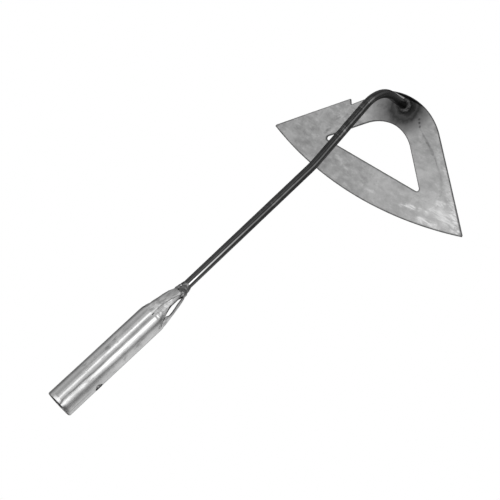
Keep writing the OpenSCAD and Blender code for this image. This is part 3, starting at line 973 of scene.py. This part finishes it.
# tongue k lies between slit k and slit k + 1:
# middle distances, shift of its tip in x, painted shade on its low-angle and high-angle cut edges
TONGUES = [(MIDDLE_MAIN, 0.3, 0.75, 0.60), (MIDDLE_MAIN, -0.6, 0.55, 0.85),
           (MIDDLE_MINUS_Y, 0.4, 0.35, 0.85), (MIDDLE_MAIN, -0.2, 0.75, 0.85),
           (MIDDLE_MAIN, 0.5, 0.75, 0.85), (MIDDLE_PLUS_Y, -0.4, 0.75, 0.85)]
TONGUE_X = np.r_[108.9, 109.6, np.arange(110.2, 144.7, 0.6), [TIP_X]]
# largest radius the weld bead leaves for the tips: x, radius
TIP_LIMIT = [(139.0, 20.0), (140.6, 7.1), (142.0, 6.0), (143.5, 5.6), (145.0, 5.25)]

MOUTH_X = 0.45
TUBE_X = np.r_[[MOUTH_X], np.arange(1.2, 108.0, 1.15), [SLIT_X]]
# filing of the mouth's outer edge: depth, length, power along x, angle, half-width, power
FILING = [(0.40, 2.8, 1, 106, 19.0, 4), (0.42, 1.9, 2, 212, 30.0, 2), (0.45, 1.5, 2, 44, 26.0, 2)]
HOLE_BLOCK, HOLE_BLOCK_ANGLE = 6.9, math.radians(31)     # half-size of the patch round the hole


def tube_radius(x, angle, inner):
    """Radius of the straight tube: near-round, with a flared mouth and drawn-in shoulder."""
    x = np.asarray(x, float) * np.ones_like(angle)
    on_tube = np.c_[x, SOCKET_R * np.cos(angle), SOCKET_R * np.sin(angle)]
    radius = (SOCKET_R - WALL if inner else SOCKET_R) * np.ones_like(angle)
    radius = radius + 0.13 * np.clip(1 - x / 45.0, 0, 1)
    radius = radius - 0.05 + noise(on_tube, (0.05, (26, 9, 9), 41), (0.022, (7, 4, 4), 42))
    radius = radius + 0.05 * np.cos(2 * angle + 0.7)
    radius = radius - 0.12 * np.clip((x - 104) / 4.4, 0, 1) ** 2
    if not inner:
        degrees = np.degrees(angle)
        for depth, reach, x_power, centre, width, power in FILING:
            radius = radius - (depth * np.clip(1 - x / reach, 0, 1) ** x_power
                               * turn_bell(degrees, centre, width, power))
        # a shallow knock on the mouth
        radius = radius - 0.10 * bell(x, 1.0, 1.6) * turn_bell(degrees, 150, 7.0)
    return radius


class TubeMesh:
    """Collects the tube's points, their shading values and the faces."""

    def __init__(self):
        self.points, self.faces, self.count = [], [], 0
        self.shades = {"cut": [], "worked": [], "dark": []}

    def add(self, x, radius, angle, cut=0.0, worked=0.0, dark=0.0):
        """Adds a row of points and returns their numbers."""
        x = np.broadcast_to(x, np.shape(angle))
        self.points.append(np.c_[x, radius * np.cos(angle), radius * np.sin(angle)])
        for key, value in (("cut", cut), ("worked", worked), ("dark", dark)):
            self.shades[key].append(np.full(len(angle), value, float))
        start, self.count = self.count, self.count + len(angle)
        return np.arange(start, self.count)


def add_mouth(tube, ring, outer_row, inner_row, worn):
    """The slightly uneven, rounded rim."""
    circle = np.c_[0 * ring, 14 * np.cos(ring), 14 * np.sin(ring)]
    jag = noise(circle, (0.10, 5.0, 51), (0.05, 1.8, 52))
    outside, inside = tube_radius(0.0, ring, False), tube_radius(0.0, ring, True)
    # radius, x, darkness of the cut
    rim = ((outside - 0.06, 0.16, 0.1), (np.maximum(outside - 0.22, inside + 0.30), 0.05, 0.2),
           (outside * 0.5 + inside * 0.5, 0.03, 0.3),
           (np.minimum(inside + 0.20, outside - 0.1), 0.05, 0.4), (inside + 0.05, 0.18, 0.6))
    rows = [outer_row]
    for radius, x, cut in rim:
        rows.append(tube.add(x + worn + np.clip(jag, 0, 1) * 0.25, radius, ring, cut))
    rows.append(inner_row)
    for lower, upper in zip(rows[:-1], rows[1:]):
        tube.faces += band(lower, upper)


def add_hole(tube, outside, inside, first, last, columns):
    """The screw hole, filling the block left out of both skins."""
    around = np.arange(56) / 56 * 2 * math.pi
    far_side = smoothstep(-0.35, 0.25, np.sin(around))
    # painted shadow of the burr on the near side of the hole
    burr_shadow = turn_bell(np.degrees(around), 262, 26.0)
    burr = 0.14

    def hole_ring(size, lift, cut, inner):
        x = HOLE_X + size * np.cos(around)
        base = SOCKET_R - WALL if inner else SOCKET_R
        angle = HOLE_ANGLE + np.arcsin(size * np.sin(around) / base)
        return tube.add(x, tube_radius(x, angle, inner) + lift, angle, cut)

    # ring radius, lift off the skin, darkness: the drilled wall, then a lip pushed in
    outer_rows = ((5.4, 0.0, 0.0), (4.7, 0.0, 0.0), (4.25, 0.03, np.maximum(0.15, 0.95 * burr_shadow)),
                  (3.95, burr, np.clip(0.25 + 0.7 * far_side + 0.75 * burr_shadow, 0, 1)),
                  (3.74, burr * 0.5, 1.0), (3.72, -0.22, 1.0), (3.66, -0.62, 0.9))
    inner_rows = ((3.42, -0.05, 0.3), (3.36, -0.72, 0.0), (4.05, -0.76, 0.0), (4.9, -0.12, 0.1),
                  (5.4, 0.0, 0.3))
    rings = [hole_ring(*row, inner=False) for row in outer_rows]
    rings += [hole_ring(*row, inner=True) for row in inner_rows]
    points = np.concatenate(tube.points)
    for skin, ring, inner in ((outside, rings[0], False), (inside, rings[-1], True)):
        border = ([skin[first][j] for j in columns]
                  + [skin[i][columns[-1]] for i in range(first + 1, last)]
                  + [skin[last][j] for j in columns[::-1]]
                  + [skin[i][columns[0]] for i in range(last - 1, first, -1)])
        numbers = np.r_[border, ring]
        near = points[numbers]
        # unrolled: x, distance round the tube
        turned = wrap(np.arctan2(near[:, 2], near[:, 1]) - HOLE_ANGLE)
        unrolled = np.c_[near[:, 0], turned * 12.6]
        size = len(border)
        triangles = triangulate(unrolled, size, len(ring))[1]
        middles = unrolled[triangles].mean(1)
        triangles = triangles[in_loop(middles, unrolled[:size])
                              & ~in_loop(middles, unrolled[size:])]
        for triangle in triangles:
            face = numbers[triangle]
            centre = points[face].mean(0)
            outward = face_normal(points, face) @ np.array([0, centre[1], centre[2]]) > 0
            tube.faces.append(tuple(face if outward != inner else face[::-1]))
    for lower, upper in zip(rings[:-1], rings[1:]):
        tube.faces += band(lower, upper, side_first=True)


def cut_edge(columns, strength):
    """Painted shade on a cut edge by the number of columns from it."""
    return np.where(columns < 0.5, strength, np.where(columns < 1.5, strength * 0.2, 0.0))


def tongue_shadow(k, x, degrees, low, high):
    """Painted shade beside the lapped edges of tongues 0 to 2, and on tongue 1's turned-down
    edge.
    """
    if k == 0:
        beside = 1 - smoothstep(1.6, 4.2, high - degrees)
        return 0.50 * beside * float(smoothstep(112, 117, x))
    if k == 1:
        beside = 1 - smoothstep(1.0, 3.0, degrees - low)
        shadow = 0.45 * beside * float(smoothstep(112, 117, x))
        fold = np.interp(x, *zip(*FOLD))
        turned = 0.97 * smoothstep(fold - 0.8, fold + 0.8, degrees)
        return np.maximum(shadow, turned * (1 if 115.5 < x < 131 else 0))
    if k == 2:
        width = np.interp(x, [127, 131], [1.0, 0.42])
        beside = 1 - smoothstep(9 * width, 24 * width, degrees - low)
        return (0.34 * beside * float(smoothstep(115, 118, x))
                * float(1 - smoothstep(139, 142, x)))
    return 0.0


def add_tongue(tube, k, count, outer, inner):
    """A folded tongue, grown from the tube's last points on both skins."""
    middle_r, tip_shift, low_dark, high_dark = TONGUES[k]
    after = (k + 1) % 6
    wrap_turn = 360 if k == 5 else 0
    middle = math.radians((SLITS[k]["root"] + SLITS[after]["root"] + wrap_turn) / 2)
    part = np.arange(count + 1) / count
    from_edge = np.minimum(part, 1 - part) * count
    on_edge = from_edge < 0.5
    edges = (cut_edge(np.where(part < 0.5, part, 9.0) * count, low_dark)
             + cut_edge(np.where(part >= 0.5, 1 - part, 9.0) * count, high_dark))

    def wander(x, number):
        """Hand-cut edges wander, in degrees."""
        return noise(np.array([[x, 3.1 * number, 0.0]]), (0.7, 3.0, 61))[0] * (111 < x < 143)

    for x in TONGUE_X:
        low = float(np.interp(x, *SLITS[k]["high"]))
        high = float(np.interp(x, *SLITS[after]["low"])) + wrap_turn
        start, end = math.radians(low + wander(x, k)), math.radians(high + wander(x, after))
        # columns crowd a little at the middle or the edges as the sine carries them
        angle = start + (end - start) * (part - 0.06 * np.sin(2 * math.pi * part))
        # the tongue keeps the tube's curve as it tilts in
        shift = np.interp(x, MIDDLE_X, middle_r) - SOCKET_R
        off = angle - middle
        curve = shift * np.cos(off) + np.sqrt(SOCKET_R * SOCKET_R - (shift * np.sin(off)) ** 2)
        place = np.c_[np.full(count + 1, x), curve * np.cos(angle), curve * np.sin(angle)]
        dent = noise(place + 100 * k, (0.16, (7, 5, 5), 71), (0.08, 2.6, 72))
        dent = dent * smoothstep(108.5, 113, x)
        # hammered crease just past the shoulder
        dent = dent - 0.28 * bell(x, 110.6, 1.3) * (0.6 + 0.4 * np.sin(5 * angle + 3.1 * k))
        crumple = float(smoothstep(108.6, 110.5, x) * (1 - smoothstep(117, 122, x)))
        dent = dent + noise(place + 200, (0.14, 2.2, 73)) * crumple
        # the tips stay under the weld bead
        outer_r = np.minimum(curve + dent, float(np.interp(x, *zip(*TIP_LIMIT))))
        inner_r = curve - WALL * (1 - 0.12 * smoothstep(136, 145, x)) + dent * 0.9
        inner_r = np.maximum(np.minimum(inner_r, outer_r - 0.6), 3.9)
        shadow = tongue_shadow(k, x, np.degrees(angle), low, high)
        row_x = x + tip_shift * smoothstep(138, 145, x)
        new_outer = tube.add(row_x, outer_r - np.where(on_edge, 0.10, 0.0), angle,
                             cut=np.maximum(shadow, edges), worked=smoothstep(108, 112, x))
        new_inner = tube.add(row_x, inner_r, angle, cut=np.where(on_edge, 1.0, 0.3),
                             worked=1.0, dark=1.0)
        for c in range(count):
            tube.faces.append((outer[c + 1], new_outer[c + 1], new_outer[c], outer[c]))
            tube.faces.append((inner[c], new_inner[c], new_inner[c + 1], inner[c + 1]))
        # side walls along the slits
        tube.faces.append((outer[0], new_outer[0], new_inner[0], inner[0]))
        tube.faces.append((inner[-1], new_inner[-1], new_outer[-1], outer[-1]))
        outer, inner = new_outer, new_inner
    for c in range(count):
        tube.faces.append((inner[c], inner[c + 1], outer[c + 1], outer[c]))


# the tube's weld seam: x, angle in degrees
SEAM_PATH = [(1.5, 130.6), (4.8, 124.3), (10.8, 124.5), (16.3, 127.0), (27.3, 125.3),
             (41.5, 129.9), (108.4, 121.4)]


def tube_attributes(tube, points):
    x = points[:, 0]
    angle = np.arctan2(points[:, 2], points[:, 1])
    radius = np.hypot(points[:, 1], points[:, 2])
    degrees = np.degrees(angle) % 360
    cut, worked, dark = (np.concatenate(tube.shades[key]) for key in ("cut", "worked", "dark"))
    off_seam = wrap(angle - np.radians(np.interp(x, *zip(*SEAM_PATH)))) * SOCKET_R
    seam_width = np.interp(x, [0, 20, 45, 60], [0.75, 0.7, 0.7, 1.0])
    seam_strength = np.interp(x, [0, 38, 55, 104, 109.5], [1.0, 0.95, 0.50, 0.55, 0.0])
    seam = bell(off_seam, 0, seam_width) * (radius > 12.6) * seam_strength
    # painted shade in a ring round the root of the slit at 183 degrees; 0.2312 mm to a degree
    from_root = np.hypot(x - 107.3, (degrees - 183.0) * 0.2312)
    cut = cut + bell(from_root, 1.35, 0.42) * (radius > 12.0) * 0.85
    # a scuff and two dark bands at the mouth
    cut = cut + bell(x, 1.0, 1.6) * bell(degrees, 149.0, 7.0) * 0.35 * (radius > 12.6)
    cut = cut + (bell(x, 0.9, 1.7) * smoothstep(140, 150, degrees)
                 * (1 - smoothstep(176, 200, degrees)) * 0.45 * (radius > 12.6))
    cut = cut + (bell(x, 0.3, 0.9) * smoothstep(176, 196, degrees)
                 * (1 - smoothstep(224, 240, degrees)) * 0.40 * (radius > 12.0))
    # a thin painted shadow line between the hole and the mouth
    cut = cut + (bell(degrees, 183.0, 2.0) * smoothstep(1.5, 4.0, x)
                 * (1 - smoothstep(23.0, 29.0, x)) * 0.42 * (radius > 12.9))
    grime = bell(degrees, 156.0, 27.0) * (1 - smoothstep(24, 60, x)) * (radius > 12.3)
    bevel = bell(degrees, 106.0, 17.0, 4) * (1 - smoothstep(2.0, 3.4, x)) * (radius > 12.4)
    # painted light: the bore is lighter in two places close to the mouth
    lit = (1 - smoothstep(2, 9, x)) * (radius < 12.45) * np.maximum(
        smoothstep(200, 222, degrees) * (1 - smoothstep(282, 300, degrees)),
        bell(degrees, 32, 14.0))
    blot = (bell(degrees, 174.0, 13.0) * smoothstep(20, 45, x) * (1 - smoothstep(96, 106, x))
            * (radius > 12.6))
    return {"cut": np.clip(cut, 0, 1), "seam": seam, "worked": worked,
            "inner": np.clip(dark - 0.75 * lit, 0, 1), "bevel": bevel, "grime": grime,
            "blot": blot}


def build_socket(material):
    # a whole number of columns in each tongue, so that slit roots fall on ring points
    roots = [s["root"] for s in SLITS] + [SLITS[0]["root"] + 360]
    columns = [max(8, int(round((b - a) / 360 * 288))) for a, b in zip(roots[:-1], roots[1:])]
    ring = np.array([math.radians(a + (b - a) * c / count)
                     for a, b, count in zip(roots[:-1], roots[1:], columns)
                     for c in range(count)])
    tube = TubeMesh()
    worn = 0.62 * turn_bell(np.degrees(ring), 218, 17.0)
    stations = [MOUTH_X + worn] + list(TUBE_X[1:])
    outside, inside = ([tube.add(x, tube_radius(x, ring, inner), ring, dark=float(inner))
                        for x in stations] for inner in (False, True))
    add_mouth(tube, ring, outside[0], inside[0], worn)

    # both skins, leaving out a block round the screw hole
    first, last = (int(np.argmin(abs(TUBE_X - (HOLE_X + side * HOLE_BLOCK))))
                   for side in (-1, 1))
    turned = wrap(ring - HOLE_ANGLE)
    block = np.where(abs(turned) < HOLE_BLOCK_ANGLE)[0]
    block = block[np.argsort(turned[block])]
    gap = set(block[:-1].tolist())
    for skin, flip in ((outside, True), (inside, False)):
        for i in range(len(TUBE_X) - 1):
            quads = band(skin[i], skin[i + 1], flip=flip)
            tube.faces += [quad for j, quad in enumerate(quads)
                           if not (first <= i < last and j in gap)]
    add_hole(tube, outside, inside, first, last, list(block))

    start = 0
    for k, count in enumerate(columns):
        numbers = [(start + c) % len(ring) for c in range(count + 1)]
        add_tongue(tube, k, count, outside[-1][numbers], inside[-1][numbers])
        start += count
    points = np.concatenate(tube.points)
    make_piece("socket_tube", points, tube.faces, material, "socket",
               sharp=48, attributes=tube_attributes(tube, points))


# ---------------------------------------------------------------- weld beads
def bead(name, origin, axes, outer, inner, sides, steps, material, node):
    """A closed ring-shaped bead.

    outer and inner give (height along the first axis, radius) for 0..1 across the bead.
    """
    angle = np.arange(sides) / sides * 2 * math.pi
    back = steps // 3 + 1
    rows = [outer(k / steps, angle) for k in range(steps + 1)]
    rows += [inner(k / back, angle) for k in range(back, -1, -1)]
    points = np.concatenate([
        origin + height[:, None] * axes[0] + (radius * np.cos(angle))[:, None] * axes[1]
        + (radius * np.sin(angle))[:, None] * axes[2] for height, radius in rows])
    numbers = np.arange(len(points)).reshape(len(rows), sides)
    faces = []
    for k in range(len(rows)):
        faces += band(numbers[k], numbers[(k + 1) % len(rows)])
    # make the faces point outwards
    face = faces[(steps // 2) * sides]
    centre = points[list(face)].mean(0) - origin
    centre = centre - (centre @ axes[0]) * axes[0]
    if face_normal(points, face) @ centre < 0:
        faces = [quad[::-1] for quad in faces]
    make_piece(name, points, faces, material, node, sharp=70)


# the nose bead's outer radius by x
NOSE_PROFILE = [(138.5, 6.75), (141.0, 6.55), (143.0, 6.25), (145.5, 5.85), (148.0, 5.42),
                (150.4, 4.85), (151.6, 4.45), (152.4, 3.98)]
NOSE_END = CONE_X + 10.2


def build_nose_weld(material):
    def start(angle):
        # the bead runs back over the tongue tips, furthest where they overlap
        return 141.5 - 2.5 * turn_bell(np.degrees(angle), 156, 30.0)

    def outer(part, angle):
        x = start(angle) + (NOSE_END - start(angle)) * part
        base = np.interp(x, *zip(*NOSE_PROFILE))
        base = base + (0.55 * turn_bell(np.degrees(angle), 172, 28.0)
                       * smoothstep(147.5, 144, x))
        base = base - 0.9 * bell(part, 0, 0.035)
        place = np.c_[x, 5.5 * np.cos(angle), 5.5 * np.sin(angle)]
        lumps = noise(place, (0.40, 2.4, 81), (0.24, 1.2, 82), (0.08, 0.7, 83))
        radius = base - 0.18 + lumps * math.sin(math.pi * part) ** 0.5
        # the bead ends on the bar, which sits a little above the tube's axis
        radius = radius + LIFT * smoothstep(0.5, 1.0, part) * np.sin(angle)
        circle = np.c_[np.zeros(len(angle)) + 7 * part, 4 * np.cos(angle), 4 * np.sin(angle)]
        wander = noise(circle, (0.45, 2.0, 84)) * (1 if part > 0.5 else 0.4)
        return x + wander * smoothstep(0.0, 0.3, part), np.minimum(radius, 7.2)

    def inner(part, angle):
        x = start(angle) + 0.3
        radius = 3.75 + max(0.0, 1 - part / 0.3)
        return x + (NOSE_END - x) * part, radius + LIFT * np.sin(angle) * 0.8 * part

    bead("nose_weld_bead", np.zeros(3), np.eye(3), outer, inner, sides=132, steps=40,
         material=material, node="socket_weld")


def build_plate_weld(material):
    foot_r, top_r, top_height, sunk = 7.60, 4.25, 4.05, -0.35

    def outer(part, angle):
        # from the plate up to the bar
        quarter = part * math.pi / 2
        hump = math.sin(math.pi * part)
        place = np.c_[7 * np.cos(angle), 7 * np.sin(angle), np.full(len(angle), 5.0 * part)]
        ripple = 0.16 * np.cos(angle * 21 + 5.0 * part) * hump ** 0.7
        lumps = noise(place, (0.38, 3.4, 91), (0.20, 1.4, 92))
        radius = top_r + (foot_r - top_r) * np.cos(quarter) ** 0.85
        radius = radius + (lumps + ripple) * math.sin(math.pi * (part * 0.9 + 0.08)) ** 0.7 - 0.05
        if part == 0:
            height = np.full(len(angle), sunk)
        else:
            height = (top_height * np.sin(quarter) ** 1.15
                      + noise(place + 30, (0.28, 2.6, 93)) * hump ** 0.8)
        return height, np.minimum(radius, 7.5)

    def inner(part, angle):
        return np.full(len(angle), sunk + 4.1 * part), np.full(len(angle), 3.55)

    bead("plate_weld_bead", BAR_END, (PLATE_UP, ALONG, ACROSS), outer, inner, sides=168,
         steps=26, material=material, node="blade_weld")


# ---------------------------------------------------------------- build the pieces
plate_material = plate_steel()
bar_material = mill_scale_steel()
zinc_material = galvanised_steel()
nose_material = weld_metal(
    "weld_metal_bright", tones=[(0.32, 0.06), (0.46, 0.12), (0.56, 0.22), (0.68, 0.46)],
    rough=(0.32, 0.50), metallic=0.8, spots=NOSE_SPOTS)
plate_weld_material = weld_metal(
    "weld_metal_dark", tones=[(0.32, 0.018), (0.5, 0.035), (0.62, 0.07), (0.74, 0.20)],
    rough=(0.28, 0.5), metallic=0.6)

build_bar(bar_material)
blade = build_blade(plate_material)
build_socket(zinc_material)
build_nose_weld(nose_material)
build_plate_weld(plate_weld_material)

# ---------------------------------------------------------------- camera
# rows: the view's right, down and forward directions; then the CAD origin seen from the camera
VIEW = np.array([[0.705037, -0.651748, -0.279548],
                 [-0.660206, -0.459279, -0.594299],
                 [0.258942, 0.603562, -0.754097]])
VIEW_ORIGIN = np.array([-161.778, 130.928, 1015.611]) * MM
camera_place = -VIEW.T @ VIEW_ORIGIN
camera_axes = np.c_[VIEW[0], -VIEW[1], -VIEW[2]]     # right, up, towards the camera


def build_camera():
    data = bpy.data.cameras.new("camera")
    data.sensor_width = 36.0
    data.lens = 86.4
    data.clip_start = 0.05
    data.clip_end = 60
    camera = bpy.data.objects.new("camera", data)
    bpy.context.scene.collection.objects.link(camera)
    # the nearest true rotation to the rounded axes
    left, _, right = np.linalg.svd(camera_axes)
    rows = [[*row, place] for row, place in zip(left @ right, camera_place)]
    camera.matrix_world = Matrix([*rows, [0, 0, 0, 1]])
    bpy.context.scene.camera = camera


# ---------------------------------------------------------------- floor, lights, room
def floor_white():
    mat = new_material("floor_white")
    tone = mat.noise(scale=3.0, detail=2, rough=0.5)
    y = mat.xyz()[1]
    fade = (y.map(span=(-0.05, 0.22), to=(1.0, 0.12), smooth=True)
            * y.map(span=(-1.3, -0.45), to=(0.46, 0.93), smooth=True))
    fade = fade * mat.xyz()[0].map(span=(0.20, 0.42), to=(1.0, 0.28), smooth=True)
    matt = mat.principled(Base_Color=tone.ramp((0.3, 0.80), (0.7, 0.84)), Roughness=0.9,
                          Specular_IOR_Level=0.1)
    glow = mat.node("Emission", {"Strength": fade * 0.95})
    mixed = mat.node("MixShader", {0: 0.85, 1: matt, 2: glow})
    return mat.finish(mat.white_to_camera(mixed, "Emission"))


def build_floor():
    """A large square just below the object, half-size and gap in metres."""
    half, gap = 6.0, 0.35
    mesh = bpy.data.meshes.new("floor")
    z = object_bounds()[0][2] - gap
    corners = [(-half, -half, z), (half, -half, z), (half, half, z), (-half, half, z)]
    mesh.from_pydata(corners, [], [(0, 1, 2, 3)])
    floor = bpy.data.objects.new("floor", mesh)
    bpy.context.scene.collection.objects.link(floor)
    mesh.materials.append(floor_white())


def area_light(name, target, direction, distance, size, power):
    """A square panel facing a target, in metres and watts."""
    data = bpy.data.lights.new(name, "AREA")
    data.shape = "RECTANGLE"
    data.size = data.size_y = size
    data.energy = power
    light = bpy.data.objects.new(name, data)
    bpy.context.scene.collection.objects.link(light)
    light.location = Vector(target + direction * distance)
    light.rotation_euler = Vector(direction).to_track_quat("Z", "Y").to_euler()
    return light


def build_lights():
    overhead = np.array([-0.2, 0.8, 0.5])        # in camera axes
    overhead /= np.linalg.norm(overhead)
    area_light("overhead", target=np.array([0.22, 0.0, 0.0]), direction=camera_axes @ overhead,
               distance=1.8, size=1.2, power=1.5)
    # a diffuser that the plate mirrors to the camera, strongest at its -Y ear
    ear = PLATE_O * MM + np.array([0, -0.112, 0]) + ALONG * 0.004
    look = ear - camera_place
    look /= np.linalg.norm(look)
    mirrored = look - 2 * (look @ PLATE_UP) * PLATE_UP
    diffuser = area_light("diffuser", target=ear, direction=mirrored, distance=0.75, size=0.34,
                          power=0.26)
    receivers = bpy.data.collections.new("lit_by_diffuser")
    receivers.objects.link(blade)
    diffuser.light_linking.receiver_collection = receivers


# brightness of the room by angle round the X axis, 0 at +Y, 90 straight up, 180 at -Y;
# the two peaks are long lamps parallel to the axis
ROOM = [(0, 0.15), (12, 0.42), (28, 0.66), (38, 0.62), (50, 0.46), (68, 0.39), (83, 0.48),
        (89, 1.9), (96, 2.0), (101, 0.90), (114, 0.76), (126, 0.50), (134, 0.78), (141, 2.4),
        (152, 2.4), (160, 1.45), (167, 0.95), (174, 0.68), (180, 0.55)]
# the same at the room's two ends, by angle / 180 degrees
ROOM_ENDS = [(0.0, 0.40), (0.11, 0.55), (0.33, 0.60), (0.7, 0.58), (1.0, 0.5)]
ROOM_SCALE = 3.0                     # keeps the ramps' colours below one


def build_room():
    world = bpy.data.worlds.new("studio")
    bpy.context.scene.world = world
    sky = Nodes(world, "Generated")
    x, y, z = sky.xyz()
    around = z.math("ARCTAN2", y) / math.pi
    room = around.ramp(*((angle / 180.0, value / ROOM_SCALE) for angle, value in ROOM_STOPS))
    ends = around.ramp(*((place, value / ROOM_SCALE) for place, value in ROOM_ENDS))
    beside = (x.map(span=(-0.7, -0.4), smooth=True)
              * x.map(span=(0.45, 0.65), to=(1, 0), smooth=True))
    colour = ends.mix(to=room, by=beside)
    low = (x.map(span=(0.40, 0.60), to=(0.0, 0.8), smooth=True)
           * around.map(span=(0.02, 0.16), to=(1.0, 0.0), smooth=True))
    colour = colour.mix(to=0.50 / ROOM_SCALE, by=low)
    gain = (x.map(span=(-0.6, 0.1), to=(1.25, 1.0))
            * x.map(span=(0.42, 0.62), to=(1.0, 1.30)))
    light = sky.node("Background", {"Color": colour, "Strength": gain * ROOM_SCALE})
    sky.finish(sky.white_to_camera(light, "Background"), "OutputWorld")


ROOM_STOPS = tuple(ROOM)
build_camera()
build_floor()
build_lights()
build_room()

view = bpy.context.scene.view_settings
view.view_transform = "Standard"
view.look = "None"
view.exposure = 0.0
